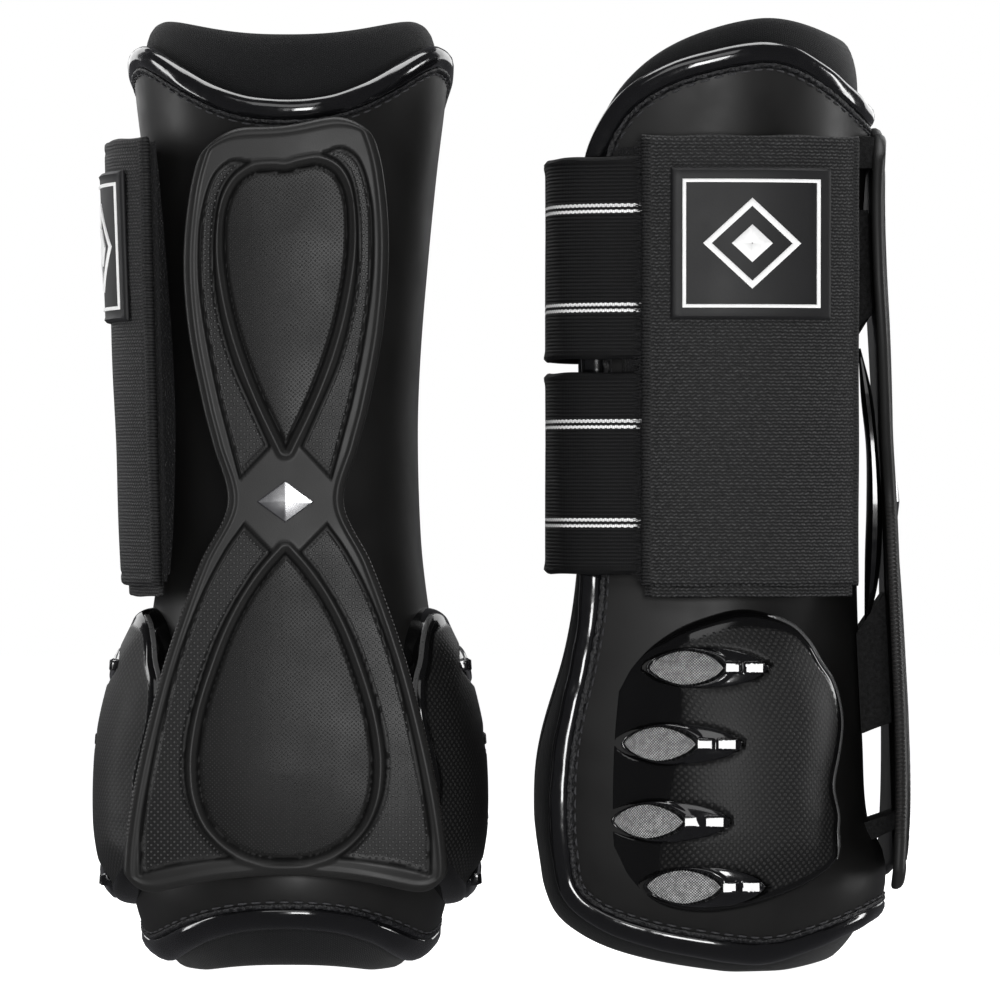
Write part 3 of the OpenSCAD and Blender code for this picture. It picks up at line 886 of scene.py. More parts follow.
def swollen(piece, cap_mm):
    """Cloth under pressure: bare parts of the liner swell, parts under the shell stay put."""
    rest = np.array([v.co for v in piece.data.vertices])
    group = piece.vertex_groups.new(name="held")
    for i, b in enumerate(bare_values(piece.data)):
        group.add([i], float(1 - 0.98 * b), "REPLACE")
    cloth = piece.modifiers.new("Cloth", "CLOTH")
    settings = cloth.settings
    settings.quality = 5
    settings.mass = 0.3
    settings.use_pressure = True
    settings.uniform_pressure_force = 4
    settings.vertex_group_mass = "held"
    settings.pin_stiffness = 1
    settings.effector_weights.gravity = 0
    frames = 20
    cloth.point_cache.frame_start, cloth.point_cache.frame_end = 1, frames
    scene = bpy.context.scene
    for step in range(1, frames + 1):
        scene.frame_set(step)
    depsgraph = bpy.context.evaluated_depsgraph_get()
    moved = np.array([v.co for v in piece.evaluated_get(depsgraph).data.vertices])
    shift = moved - rest
    length = np.linalg.norm(shift, axis=1)
    shift *= (np.minimum(length, cap_mm * MM) / np.maximum(length, 1e-9))[:, None]
    shift[:, 2] = np.maximum(shift[:, 2], 0.0005 - rest[:, 2])
    piece.modifiers.remove(cloth)
    scene.frame_set(1)
    return rest + shift


def liner():
    """Both liners are the same shape: the first is simulated, the second is turned into place."""
    form = liner_form()
    pieces = {boot: form.build(f"liner_{boot}", boot, MAT["liner"]) for boot in BOOTS}
    shape = swollen
    points = shape(pieces["a"], 2.6)
    home = points / MM - PAIR_SHIFT + np.array([BOOT_SPACING / 2, 0, 0])
    for boot, piece in pieces.items():
        spots = place(home, boot)
        spots[:, 2] = np.maximum(spots[:, 2], 0.0)
        piece.data.vertices.foreach_set("co", spots.astype(np.float32).ravel())
        piece.data.update()
        subdivided(piece)
        settle(piece, f"boot_{boot}", "liner_neoprene", f"liner_{boot}")


def subdivided(piece):
    """The piece's mesh becomes its own subdivision surface."""
    divide = piece.modifiers.new("Subdivision", "SUBSURF")
    divide.levels = divide.render_levels = 1
    depsgraph = bpy.context.evaluated_depsgraph_get()
    mesh = bpy.data.meshes.new_from_object(piece.evaluated_get(depsgraph))
    piece.modifiers.clear()
    old = piece.data
    piece.data = mesh
    bpy.data.meshes.remove(old)
    piece.data.shade_smooth()


def impact_pad():
    """Foam sheet between shell and liner, with rows of dimples."""
    half_turn, low, high = 55, 42, 198
    turn, z = np.meshgrid(np.linspace(-half_turn, half_turn, 67), np.linspace(low, high, 79))
    uv = stack(arc_mm(turn, z), z)
    dimple = 0.35 * (np.cos(uv[..., 0] * 0.78) * np.cos(z * 0.78)) ** 4
    reach = half_turn * 0.7
    crown = 0.5 * (1 - ease(edge_gap(turn * 0.7, z, (-reach, reach), (low, high)) / 3))
    form = Form()
    form.slab(form_point(turn, z, -3.35 - crown - dimple), form_point(turn, z, -5.35 + crown), uv)
    for piece in pair(form, "impact_pad", "foam", "foam", ["impact_pad"]):
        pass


# ---------------------------------------------------------------- strike guard

# Outlines on the guard's face, as smooth runs (x, z) that meet at corners; drops are half shapes
LOWER_DROP = ((0, 113.2), (4.6, 108), (9.5, 101), (14.2, 92), (18.2, 81.5), (21.3, 71.5),
              (23, 62.5), (23.4, 56), (22.6, 48.5), (19.8, 41.3), (15, 36.2), (8, 32.8), (0, 31.8))
UPPER_DROP = ((0, 140.5), (6.2, 153.5), (10.7, 165), (14, 176.5), (16.2, 189), (16.6, 198),
              (15.8, 206), (13, 212), (8.6, 214.8), (4, 214.8), (0, 214.2))
LOWER_SIDE = (((11, 120.6), (3.8, 113.2)),
              ((3.8, 113.2), (8.6, 107.2), (14.6, 97.4), (19, 88), (22.7, 77), (25.4, 66.5),
               (26.4, 57), (25.4, 48.5), (22, 40.8), (17.2, 35.4), (13.4, 32.4)),
              ((13.4, 32.4), (22, 31.6), (31, 30), (38.4, 28)),
              ((38.4, 28), (38.2, 40), (35.6, 55.6), (32, 72), (28, 86), (22.2, 101.5),
               (16, 113.5), (11, 120.6)))
UPPER_SIDE = (((12.1, 132.6), (4.1, 141.1)),
              ((4.1, 141.1), (8.7, 151.4), (13.4, 162.4), (16.6, 173.5), (18.4, 184),
               (18.9, 194.3), (18.4, 203.1), (16.8, 210.5), (13.8, 214.9), (9.6, 217.5)),
              ((9.6, 217.5), (14.8, 218.4), (19.4, 214.6), (22.4, 204.5), (23.1, 194.3),
               (22.7, 183), (20.9, 170), (17.8, 154.3), (14.1, 140), (12.1, 132.6)))


def smooth_run(points):
    """A smooth curve through points, closely sampled, without its last point."""
    lengths = np.linalg.norm(np.diff(points, axis=0), axis=1)
    keys = np.concatenate([[0], np.cumsum(lengths)])
    table = np.column_stack([keys, points])
    at = np.linspace(0, keys[-1], max(int(keys[-1] / 0.8), 2) + 1)[:-1]
    return stack(along(table, at, 1), along(table, at, 2))


def straight_outline(corners, steps):
    """A closed outline with straight sides, each in a number of steps."""
    t = np.linspace(0, 1, steps, endpoint=False)[:, None]
    return np.concatenate([mix(p, q, t) for p, q in zip(corners, np.roll(corners, -1, 0))])


def drop_outline(half):
    half = np.array(half)
    return smooth_run(np.vstack([half, half[-2::-1] * [-1, 1]]))


def side_outline(runs):
    return np.vstack([smooth_run(run) for run in runs])


def signed_distance(points, polygon):
    """Distance to a polygon's outline, negative inside."""
    best = np.full(len(points), 1e9)
    inside = np.zeros(len(points), bool)
    for p, q in zip(polygon, np.roll(polygon, -1, 0)):
        edge = q - p
        t = np.clip(((points - p) @ edge) / (edge @ edge), 0, 1)
        best = np.minimum(best, np.linalg.norm(points - p - t[:, None] * edge, axis=1))
        crosses = (p[1] > points[:, 1]) != (q[1] > points[:, 1])
        reach = edge[0] * (points[:, 1] - p[1]) / (edge[1] if edge[1] else 1e-9) + p[0]
        inside ^= crosses & (points[:, 0] < reach)
    return np.where(inside, -best, best)


def guard_relief(x, z):
    """Height of the guard's face over its plain curve, where its kinds of surface lie, and where
    shade is painted in the grooves round its drops and panels.
    """
    flat, folded = stack(x.ravel(), z.ravel()), stack(np.abs(x).ravel(), z.ravel())
    height, drop, panel, groove = (np.zeros(x.shape) for _ in range(4))
    for outline in (LOWER_DROP, UPPER_DROP):
        far = signed_distance(flat, drop_outline(outline)).reshape(x.shape)
        height += -0.9 * ease(0.5 - far / 0.8) + 0.7 * ease(1 - np.abs(far - 1.75) / 1.4)
        height += -0.5 * ease(1 - np.abs(far + 0.55) / 0.6)
        # crown across each row, from the drop's edge to its middle
        deepest = np.minimum(far.min(axis=1, keepdims=True), -0.5)
        share = np.clip(far / deepest, 0, 1)
        height -= 0.045 * deepest * (1 - (1 - share) ** 2)
        drop = np.maximum(drop, ease(-(far + 1.1) / 0.5))
        # painted shade along the groove just inside each drop's outline
        groove = np.maximum(groove, ease(1.25 - np.abs(far + 0.3) / 0.6))
    for outline in (LOWER_SIDE, UPPER_SIDE):
        far = signed_distance(folded, side_outline(outline)).reshape(x.shape)
        height += -0.75 * ease(0.5 - far / 0.7) + 0.3 * ease(1 - np.abs(far + 0.8) / 0.4)
        panel = np.maximum(panel, ease(-(far + 0.9) / 0.4))
        # painted shade along the groove just inside each panel's outline
        groove = np.maximum(groove, ease(1.25 - np.abs(far + 0.15) / 0.55))
    return height, {"drop": drop, "panel": panel, "groove": groove}


def strike_guard():
    u, v = mesh_steps(gather(180, 0.15), 350)
    low = 20.5 + 7.3 * (1 - u * u) + 7.7 * np.abs(u) ** 14
    high = 227 - 0.8 * np.cos(u * math.pi) - 9 * (1 - (1 - np.minimum(np.abs(u), 1) ** 5) ** 0.5)
    z = mix(low, high, v)
    half = along(GUARD_FORM, z, 1)
    x, side = u * half, (1 - np.abs(u)) * half
    height, kinds = guard_relief(x, z)
    gap = np.minimum.reduce([side, z - low, high - z])
    round_r = 1.3
    edge = round_r - np.sqrt(round_r ** 2 - np.clip(round_r - gap, 0, round_r) ** 2)
    lip = 0.35 * ease(1 - np.abs(gap - 1.8) / 1.2)
    y = guard_y(x, z, 0) - height - lip + edge
    lean = GUARD_LEAN * x * ease((z - 150) / 70)
    ribbed = ease(1 - side / 0.7) * ease((z - 34) / 8) * (1 - ease((z - 118) / 12))
    form = Form()
    last = rim(form.grid(stack(x, y, z + lean), stack(x, z), {**kinds, "ribbed": ribbed}))
    rim_x, rim_z, tilt, ribs = (q.ravel()[last] for q in (x, z, lean, ribbed))
    # rings in from the rim close the back, which is darkened with painted shade
    for depth, in_x, in_z in ((GUARD_T - 1.0, 1.0, 1.0), (GUARD_T - 0.3, 0.992, 0.998),
                              (GUARD_T, 0.97, 0.992), (GUARD_T, 0.85, 0.975), (GUARD_T, 0.6, 0.95),
                              (GUARD_T, 0.3, 0.93), (GUARD_T, 0.02, 0.92)):
        px, pz = rim_x * in_x, WAIST_Z + (rim_z - WAIST_Z) * in_z
        values = {"ribbed": ribs * (depth < GUARD_T), "groove": 0.7}
        first = form.take(stack(px, guard_y(px, pz, depth), pz + tilt), stack(px, pz), values)
        ring = first + np.arange(len(last))
        form.bridge(last, ring)
        last = ring
    form.cap(last)
    pair(form, "guard", "guard", "guard_satin", ["strike_guard"], crease_deg=60)
    guard_feet()
    guard_badge()


def guard_feet():
    """Dark webs that carry the plate on the shell near each end; the lower one slants upwards."""
    form = Form()
    feet = (((35.5, 40), (38.5, 43), 0.3), ((216, 224.5), (216, 224.5), 0.8))
    for at_shell, at_plate, reach in feet:
        share, v = np.meshgrid(np.linspace(-reach, reach, 41), (gather(14, 0.5) + 1) / 2)
        outer_z, inner_z = mix(*at_plate, v), mix(*at_shell, v)
        x = share * along(GUARD_FORM, outer_z, 1)
        sag = 1.2 * np.sin(math.pi * v) * (at_shell != at_plate)
        inner_y = np.maximum(shell_rear_y(x, inner_z, 0.1), guard_y(x, outer_z, GUARD_T))
        form.slab(stack(x, guard_y(x, outer_z, GUARD_T - 0.2), outer_z),
                  stack(x, inner_y, inner_z - sag), stack(x, outer_z))
    pair(form, "guard_feet", "foam", "guard_satin")


def guard_spacers():
    """Foam blocks with softly pinched sides; the lower one reaches higher at the plate."""
    blocks = (("upper", (172, 205), (177, 205), 13), ("lower", (64, 91), (67, 102), 11))
    for name, at_shell, at_plate, half in blocks:
        form = Form()
        s, v = np.meshgrid(gather(30, 0.4), (gather(34, 0.4) + 1) / 2)
        x = s * half
        back_z, front_z = mix(*at_shell, v), mix(*at_plate, v)
        soft = 1 - ease(edge_gap(x, back_z, (-half, half), at_shell) / 3)
        front = guard_y(x, front_z, GUARD_T + 0.1) + 0.8 * soft
        back = shell_rear_y(x, back_z, 0.2) - 0.5 * soft
        form.slab(stack(x, front, front_z), stack(x, back, back_z), stack(x, front_z))
        node = f"guard_spacer_{name}"
        for piece in pair(form, node, "foam", "foam", [node]):
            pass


def guard_strut():
    """Leaf-shaped glossy strut between shell and guard, with a crest down its middle."""
    u, v = mesh_steps(gather(28, 0.3), 90)
    z = mix(STRUT_FORM[0, 0], STRUT_FORM[-1, 0], v)
    x = u * np.maximum(STRUT_HALF_W * np.sin(math.pi * v) ** 0.7, 0.5)
    front, rear = along(STRUT_FORM, z, 1), along(STRUT_FORM, z, 2)
    thick = (rear - front) * (1 - 0.72 * np.abs(u) ** 1.7)
    form = Form()
    form.slab(stack(x, -(front + rear + thick) / 2, z), stack(x, -(front + rear - thick) / 2, z))
    pair(form, "strut", "trim", "binding_gloss", ["guard_strut"])


def guard_badge():
    """Plain metal lozenge with four flat facets."""
    centre_z = WAIST_Z + 0.5
    base_y = guard_y(0, centre_z, 0)
    form = Form()
    steps = ((1.0, 0.3), (1.0, -0.75), (0.94, -0.95), (0.06, -1.5))
    corners = np.array([[7.5, 0], [0, 5.5], [-7.5, 0], [0, -5.5]])
    x, z = straight_outline(corners, 12).T
    form.tube(np.array([stack(x * k, base_y + y, centre_z + z * k) for k, y in steps]))
    pair(form, "badge", "metal", "badge_metal", ["guard_badge"], crease_deg=22)


# ---------------------------------------------------------------- fetlock cups and vents

def cup():
    """Raised cup: a rounded wall at its rear, top and bottom, merging into the shell in front."""
    u, v = np.meshgrid((gather(120, 0.8) + 1) / 2, (gather(110, 0.85) + 1) / 2)
    low, high = along(CUP_BOTTOM, u, 1), along(CUP_TOP, u, 1)
    z = mix(low, high, v)
    turn = mix(along(CUP_REAR, mix(CUP_Z[0], CUP_Z[1], v), 1), CUP_FRONT, u)
    flat = stack(arc_mm(turn, z), z)
    outline = flat.reshape(-1, 2)[rim(np.arange(u.size).reshape(u.shape))]
    far = np.abs(signed_distance(flat.reshape(-1, 2), outline[::3])).reshape(u.shape)
    bend = 2.4
    wall = np.sqrt(np.clip(1 - (1 - np.clip(far / bend, 0, 1)) ** 2, 0, 1))
    fade = ease((turn - 94) / 22)
    crown = 1 - 0.22 * (1 - ease(far / 14))
    rise = along(CUP_RISE, turn, 1) * cup_bulge(z) * crown * mix(0.04, 1.0, wall)
    rise = rise * (1 - fade) + 0.35 * fade * wall
    y = form_point(turn, z, rise)[..., 1]
    leaf = np.zeros(u.shape)
    for z0, y0 in VENTS:
        s = (y - y0) / (VENT_L / 2 + 0.8)
        half = (VENT_W / 2 + 0.8) * np.maximum(1 - s ** 2, 0.003) ** 0.62
        inside = ease((1 - np.abs(z - z0) / half) / 0.35) * (np.abs(s) < 1)
        rise -= VENT_SINK * inside
        leaf = np.maximum(leaf, inside)
    pebbled = ease((far - bend - 0.6) / 0.8) * (1 - ease((y - 9.5 - 3 * np.sin(z / 16)) / 1.2))
    pebbled *= (1 - leaf) * (1 - ease((z - high + 5.5) / 1.5))
    form = Form()
    form.slab(form_point(turn, z, rise), form_point(turn, z, -0.3), flat, {"pebbled": pebbled})
    return form


def vent_grid(length, width, shift, cols, rows, power, blunt):
    """Grid over one vent's leaf shape: along and across from -1 to 1, and its y and height."""
    s, w = np.meshgrid(gather(cols, 0.5), gather(rows, 0.5))
    half = width / 2 * np.maximum(1 - np.abs(s) ** power, 0.003) ** blunt
    return s, w, shift + s * length / 2, w * half


# Two flat-faced bars behind each mesh: rear and front end from the vent's middle, lift off the cup
VENT_BARS = ((-8.9, -4.7, 0.9), (-15.0, -9.9, 0.35))
BAR_HALF = 1.45
BAR_TILT = 0.07
BAR_LEAN = 0.04
# The mesh in a vent: how far it lies in front of the vent's middle, and its half length and width
MESH_SHIFT = 5.5
MESH_HALF = (9.6, 4.4)


def vent_bars(y0, z0, dy, dz, height):
    """Raises the bars over the bezel, each with one flat face that looks out and a little up."""
    base = cup_face(y0 + dy, z0 + dz, 0)[..., 0]
    for rear, front, lift in VENT_BARS:
        out = float(cup_face(np.array(y0 + front), np.array(z0), lift)[..., 0])
        level = base - (out + BAR_TILT * dz) - BAR_LEAN * (front - dy)
        edge = edge_gap(dy, dz, (rear, front), (-BAR_HALF, BAR_HALF))
        height = mix(height, np.maximum(level, height), ease((edge + 0.2) / 0.4))
    return height


def vents():
    """Leaf-shaped bezels: a rim round the mesh at the front, a notched bar behind it."""
    bezels, meshes = Form(), Form()
    for z0, y0 in VENTS:
        s, w, dy, dz = vent_grid(VENT_L, VENT_W, 0, 110, 44, 2.0, 0.62)
        mesh_at = np.hypot((dy - MESH_SHIFT) / MESH_HALF[0], dz / MESH_HALF[1])
        dome = (1 - np.abs(w) ** 2.2) * np.sqrt(np.clip(1 - s ** 2, 0, 1))
        height = 1.2 * dome ** 0.7 - VENT_SINK + 0.5
        height -= 0.95 * ease((1.12 - mesh_at) / 0.16)
        height += 0.4 * ease(1 - np.abs(mesh_at - 1.16) / 0.2)
        height = vent_bars(y0, z0, dy, dz, height)
        y, z = y0 + dy, z0 + dz
        bezels.slab(cup_face(y, z, height), cup_face(y, z, -VENT_SINK - 0.6), stack(dy, dz))
        s, w, dy, dz = vent_grid(VENT_L * 0.59, MESH_HALF[1] * 2, MESH_SHIFT, 36, 18, 1.7, 0.72)
        height = 1.45 - VENT_SINK + 0.95 * (1 - w ** 2) * np.clip(1 - s ** 2, 0, 1)
        y, z = y0 + dy, z0 + dz
        meshes.slab(cup_face(y, z, height), cup_face(y, z, -VENT_SINK), stack(y, z))
    return bezels, meshes


def cup_lip():
    """Thin flat-topped bead along the cup's rear edge, facing straight out."""
    share = np.linspace(0, 1, 321)
    u = np.interp(share, (0, 0.3), (0.3, 0))
    down = np.interp(share, (0.3, 1), (CUP_TOP[0, 1], 31.0))
    z = np.where(share < 0.3, along(CUP_TOP, u, 1), down)
    level = (z - CUP_BOTTOM[0, 1]) / (CUP_TOP[0, 1] - CUP_BOTTOM[0, 1])
    turn = mix(along(CUP_REAR, mix(*CUP_Z, np.clip(level, 0, 1)), 1), CUP_FRONT, u)
    inset = 1.0
    soft = np.hanning(23) / np.hanning(23).sum()
    turn, z = (np.convolve(np.pad(q, 11, mode="edge"), soft, "valid") for q in (turn, z))
    flow = unit(np.gradient(stack(arc_mm(turn, z), z), axis=0))
    turn, z = turn - flow[:, 1] * inset / arc_mm(1, z), z + flow[:, 0] * inset
    line = form_point(turn, z, along(CUP_RISE, turn, 1) * cup_bulge(z) * 0.66)
    ahead = np.gradient(line, axis=0)
    side = unit(stack(0, -ahead[:, 2], ahead[:, 1]))
    out = np.array([-1.0, 0.0, 0.05])
    ends = ease(np.minimum(share, 1 - share) / 0.06)[:, None]
    section = ((-0.8, -0.9), (-0.55, 0.25), (-0.4, 0.4), (0.4, 0.4), (0.55, 0.25), (0.8, -0.9))
    stations = np.stack([line + side * across * mix(0.3, 1, ends) + out * (h - 0.6 * (1 - ends))
                         for across, h in section], 1)
    form = Form()
    form.tube(stations)
    return form


def cups_and_vents():
    outer = cup()
    lip = cup_lip()
    bezels, meshes = vents()
    made = ((outer, "cup", "cup", "cup_pebbled", "fetlock_cup"),
            (lip, "cup_lip", "lip", "cup_pebbled", None),
            (bezels, "bezels", "trim", "binding_gloss", "vent_bezels"),
            (meshes, "meshes", "mesh", "vent_metal", "vent_meshes"))
    for side in ("outer", "inner"):
        for form, name, material, slot, node in made:
            form = form if side == "outer" else mirrored(form)
            nodes = [f"{node}_{side}"] if node else []
            pair(form, f"{name}_{side}", material, slot, nodes)


# ---------------------------------------------------------------- closure

def strip(t, z_range, d_range, rows, wave, relief=None, soft_ends=(True, True)):
    """Band of the closure with rounded edges: sections (height, distance off) along its length."""
    (z0, z1), (d0, d1) = z_range, d_range
    share = np.linspace(0, 1, rows)
    mid, half = (d0 + d1) / 2, (d1 - d0) / 2
    angles = np.radians([60, 30, 0, -30, -60])
    bow, out = np.sin(angles), np.cos(angles)
    ends = np.ones(len(t))
    for soft, places in zip(soft_ends, ((0, 1), (-1, -2))):
        if soft:
            ends[list(places)] = 0.3, 0.85
    stations, uvs = [], []
    for length, end in zip(t, ends):
        lower = z0 + wave * math.sin(length / 4.1)
        upper = z1 + wave * math.sin(length / 3.3 + 2)
        z = mix(lower, upper, share)
        over = relief(length, z) if relief else 0
        level, far = np.concatenate([
            stack(z, mid + half * end + over),
            stack(upper + half * out, mid + half * end * bow),
            stack(z[::-1], mid - half * end),
            stack(lower - half * out, mid - half * end * bow)]).T
        stations.append(closure_point(length, level, far))
        uvs.append(stack(length, level))
    form = Form()
    form.tube(np.array(stations), np.array(uvs))
    return form


def ribbed(low):
    """Raised selvedge and slight cupping of the elastic."""
    def relief(length, z):
        across = z - low
        edge = np.minimum(across, STRAP_W - across)
        selvedge = 0.3 * ease(1 - np.abs(edge - 1.1) / 1.0)
        return selvedge - 0.12 * ease((edge - 2) / 1.5) + 0.1 * np.sin(length / 2.3 + z / 9)
    return relief


def straps():
    """Elastics: one piece runs from the boot past the hinge, its tail on past where the tab peels.
    """
    # name, lengths, soft ends, bodies it joins, and its bend: middle, then shifts to either side
    runs = (("", np.concatenate([np.linspace(-ANCHOR_LENGTH, 9, 25), np.linspace(10.5, 70, 44)]),
             (True, False), ("boot", "strap"), HINGE, ((3.6, -2.4), (-4.2, 1.6))),
            ("_tail", np.linspace(70, 86.5, 26),
             (False, True), ("strap", "tab"), PEEL, ((1.7, 4.2), (-1.0, -4.2))))
    for part, low in STRAP_LOW.items():
        z_range = (low + 0.9, low + STRAP_W - 0.9)
        forms = [strip(lengths, z_range, (0.15, 2.1), 66, 0.12, ribbed(low), soft_ends)
                 for _, lengths, soft_ends, *_ in runs]
        for boot in BOOTS:
            for form, (tail, _, _, bodies, middle, shifts) in zip(forms, runs):
                piece = form.build(f"strap_{part}{tail}_{boot}", boot, ELASTIC[part])
                ends = [Vector(place([middle[0] + dx, middle[1] + dy, STRAPS_MID_Z], boot)[0])
                        for dx, dy in shifts]
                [f"{body}_{boot}" for body in bodies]
                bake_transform(piece)
                if not tail:
                    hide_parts(f"strap_{part}_{boot}", f"strap_anchors_{boot}")


def tab_relief(length, z):
    """Sewn hems sink a little along the tab's edges."""
    edge = edge_gap(length, z, (TAB_T0, TAB_T1), (TAB_Z0, TAB_Z1))
    return -0.25 * ease(1 - np.abs(edge - 3.2) / 0.8) + 0.12 * np.sin(z / 7.0 + length / 11.0)


def end_steps(t0, t1, first, second, count):
    """Lengths from t0 to t1 with two closer steps at each end."""
    return np.concatenate([[t0, t0 + first], np.linspace(t0 + second, t1 - second, count),
                           [t1 - first, t1]])


def closure_tab():
    # name, material, slot, nodes, then what strip takes
    parts = (
        ("tab_cover", "tape", "woven_tape", ["closure_tab"],
         end_steps(TAB_T0, TAB_T1, 0.5, 1.2, 60), (TAB_Z0 + 1.3, TAB_Z1 - 1.3), (2.6, 5.2),
         130, 0.2, tab_relief),
        ("tab_ply", "tape", "woven_tape", [], np.linspace(TAB_T0 + 0.6, TAB_T1 - 1, 50),
         (TAB_Z0 - 2.2, TAB_Z0 + 4), (1.7, 3.0), 10, 0.15),
        ("tab_lining", "pile", "pile", ["tab_hook_lining"], np.linspace(87.5, 140, 50),
         (106, 221.5), (0.25, 2.0), 60, 0.25))
    for name, material, slot, nodes, *shape in parts:
        pair(strip(*shape), name, material, slot, nodes, "tab")
    fringe()


def fringe():
    """Frayed pile that shows along the tab's leading edge."""
    rng = np.random.default_rng(7)
    form = Form()
    heights = np.arange(TAB_Z0 + 1.5, TAB_Z1 - 1.5, 0.55)
    angles = np.linspace(0, 2 * math.pi, 4, endpoint=False)
    share = np.array([0, 0.35, 0.7, 1.0])
    size = 0.17 * np.array([1, 1, 0.8, 0.35])
    side = stack(0, 0.7 * np.cos(angles), np.sin(angles))
    start = TAB_T0 + 1.2
    for z in np.repeat(heights, 3):
        reach, rise, d = rng.uniform(1.2, 3.6), rng.uniform(-0.9, 0.9), rng.uniform(2.5, 3.9)
        spine = closure_point(start - reach * share, z + rise * share ** 2,
                              d + 0.5 * np.sin(share * 2.4))
        form.tube(spine[:, None] + size[:, None, None] * side[None])
    pair(form, "tab_fringe", "pile", "pile", body="tab")


def loop_panel():
    """Loop panel on the shell under the tab, with a nubbly face."""
    width, low, high = 48, 107, 220.5
    s, z = np.meshgrid(np.linspace(0, 1, 61), np.linspace(low, high, 121))
    nubs = np.random.default_rng(3).uniform(0, 0.35, s.shape)
    soft = 0.8 * (1 - ease(edge_gap(s * width, z, (0, width), (low, high)) / 2))
    outer = closure_point(mix(79, 79 + width, s), z, -0.45 - nubs - soft)
    form = Form()
    form.slab(outer, form_point(mix(118, 62, s), z, 0.1), stack(s * width, z))
    pair(form, "loop_panel", "pile", "pile", ["shell_loop_panel"])


def patch():
    """Rubber patch with a raised white line round it and a plain lozenge in its middle."""
    def crown(length, z):
        return 0.25 * ease(1 - np.abs(edge_gap(length, z, PATCH_T, PATCH_Z) - 0.8) / 0.7)
    z_range, d_range = (PATCH_Z[0] + 0.7, PATCH_Z[1] - 0.7), (PATCH_D - 0.2, PATCH_D + 1.4)
    pair(strip(end_steps(*PATCH_T, 0.35, 0.8, 40), z_range, d_range, 48, 0, crown),
         "patch", "patch", "patch_rubber", ["badge_patch"], "tab")
    inset, line, low, high = 3.0, 0.9, PATCH_D + 1.3, PATCH_D + 1.8
    t0, t1, z0, z1 = PATCH_T[0] + inset, PATCH_T[1] - inset, PATCH_Z[0] + inset, PATCH_Z[1] - inset
    form = Form()
    outline_frame(form, [(t0, z0), (t1, z0), (t1, z1), (t0, z1)], line, low, high)
    mid_t, mid_z = (t0 + t1) / 2, (z0 + z1) / 2
    for r, width in ((12, 1.5), (5, 3.4)):
        lozenge = [(mid_t - r, mid_z), (mid_t, mid_z - r), (mid_t + r, mid_z), (mid_t, mid_z + r)]
        outline_frame(form, lozenge, width, low, high)
    pair(form, "patch_frame", "white", "frame_white", ["badge_frame"], "tab")


def outline_frame(form, corners, width, low, high):
    """A raised closed line of some width inside a convex outline of corners (length, height)."""
    corners = np.array(corners, float)
    centre = corners.mean(0)
    ring = straight_outline(corners, 16)
    edge = unit(corners[1] - corners[0])
    apothem = abs((corners[0] - centre) @ np.array([edge[1], -edge[0]]))
    shrink = max(1 - width / apothem, 0.02)
    inner = centre + (ring - centre) * shrink
    soft = 0.12
    between = [(ring, low), (ring, high - soft), (mix(ring, inner, soft / width), high),
               (mix(inner, ring, soft / width), high), (inner, high - soft), (inner, low)]
    stations = np.stack([closure_point(q[:, 0], q[:, 1], d) for q, d in between], 1)
    form.tube(stations, closed=True)


# ---------------------------------------------------------------- studio

MIDDLE = (0, 0, 0.12)
# Name, place, what it faces, width and height in metres, and power in watts
SOFT_BOXES = (
    ("front", (0.14, -1.2, 0.2), MIDDLE, 0.26, 0.34, 4.6),
    ("key_front", (-0.15, -1.0, 0.85), MIDDLE, 0.9, 0.5, 2.2),
    ("strip_left", (-0.8, 0.1, 0.18), MIDDLE, 0.12, 0.6, 1.5),
    ("strip_right", (0.8, 0.1, 0.16), MIDDLE, 0.12, 0.6, 2.2),
    ("overhead", (0, 0.1, 0.95), (0, 0, 0.1), 0.9, 0.4, 5),
    ("back_left", (-0.5, 0.8, 0.5), MIDDLE, 0.5, 0.6, 1.5),
    ("back_right", (0.5, 0.8, 0.5), MIDDLE, 0.5, 0.6, 1.5))


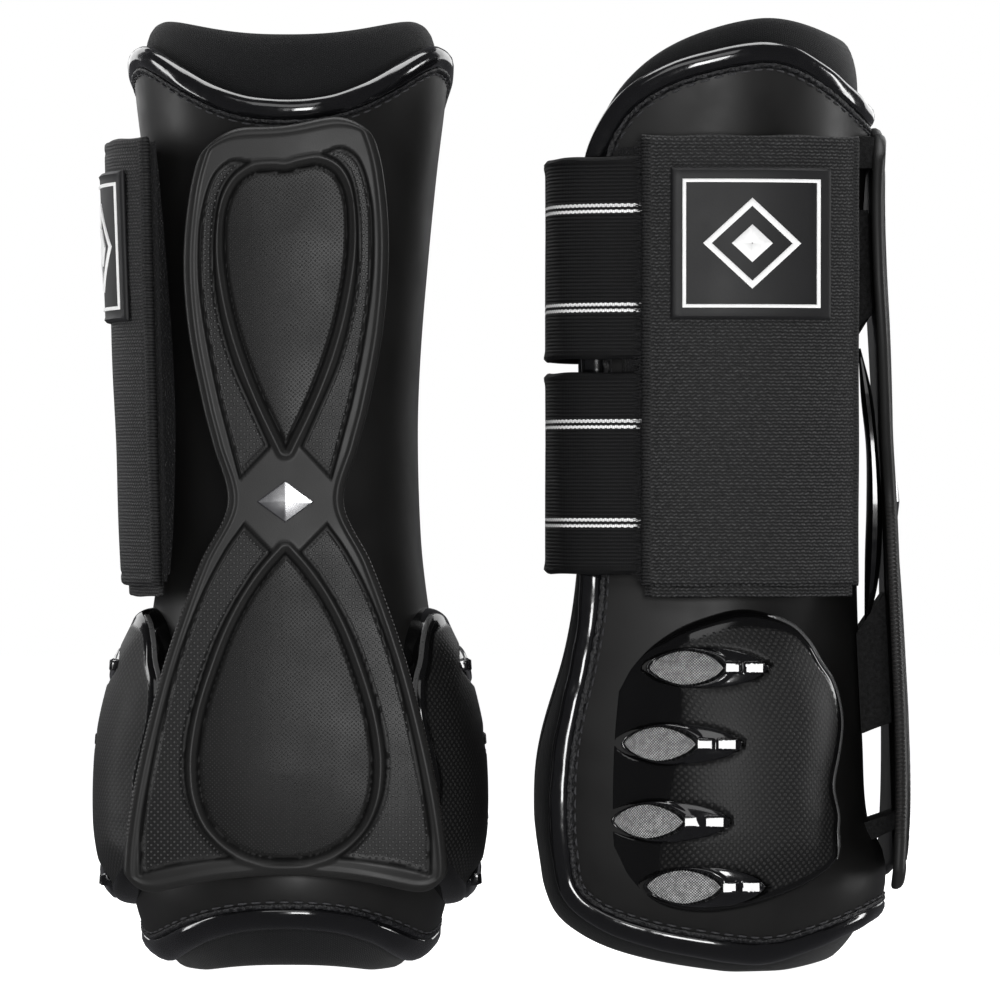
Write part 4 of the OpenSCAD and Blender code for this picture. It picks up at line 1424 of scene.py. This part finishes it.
def soft_box(name, at, towards, width, height, power):
    light = bpy.data.lights.new(name, "AREA")
    light.shape = "RECTANGLE"
    light.size, light.size_y, light.energy = width, height, power
    holder = bpy.data.objects.new(name, light)
    holder.location = at
    holder.rotation_mode = "QUATERNION"
    holder.rotation_quaternion = (Vector(towards) - Vector(at)).to_track_quat("-Z", "Y")
    bpy.context.scene.collection.objects.link(holder)


def white_floor():
    floor_mesh = bpy.data.meshes.new("floor")
    half = 4.0
    corners = [(-half, -half, 0), (half, -half, 0), (half, half, 0), (-half, half, 0)]
    floor_mesh.from_pydata(corners, [], [(0, 1, 2, 3)])
    floor_mesh.materials.append(studio_white())
    floor = bpy.data.objects.new("floor", floor_mesh)
    floor.location.z = cad_box[0].z - 0.0004
    bpy.context.scene.collection.objects.link(floor)
    floor.visible_glossy = False


def world_light():
    """White behind the boots for the camera, dim grey for everything else."""
    world = bpy.data.worlds.new("studio")
    bpy.context.scene.world = world
    world.use_nodes = True
    tree = world.node_tree
    background = tree.nodes["Background"]
    seen = tree.nodes.new("ShaderNodeLightPath")
    mixer = tree.nodes.new("ShaderNodeMix")
    mixer.data_type = "RGBA"
    mixer.inputs[6].default_value = (0.07, 0.07, 0.075, 1)
    mixer.inputs[7].default_value = (1, 1, 1, 1)
    tree.links.new(seen.outputs["Is Camera Ray"], mixer.inputs[0])
    tree.links.new(mixer.outputs[2], background.inputs[0])


def camera_in_front():
    camera_data = bpy.data.cameras.new("camera")
    camera = bpy.data.objects.new("camera", camera_data)
    bpy.context.scene.collection.objects.link(camera)
    distance, seen_width = 2.0, 0.271
    camera_data.sensor_width = 36
    camera_data.lens = 36 * distance / seen_width
    camera.location = (0.0006, -distance, 0.1266)
    camera.rotation_euler = (math.pi / 2, 0, 0)
    camera_data.clip_start, camera_data.clip_end = 0.01, 20
    bpy.context.scene.camera = camera
    bpy.context.scene.view_settings.view_transform = "Standard"


outer_shell()
shell_binding()
liner()
impact_pad()
strike_guard()
guard_spacers()
guard_strut()
cups_and_vents()
straps()
closure_tab()
loop_panel()
patch()
white_floor()
world_light()
for box in SOFT_BOXES:
    soft_box(*box)
camera_in_front()
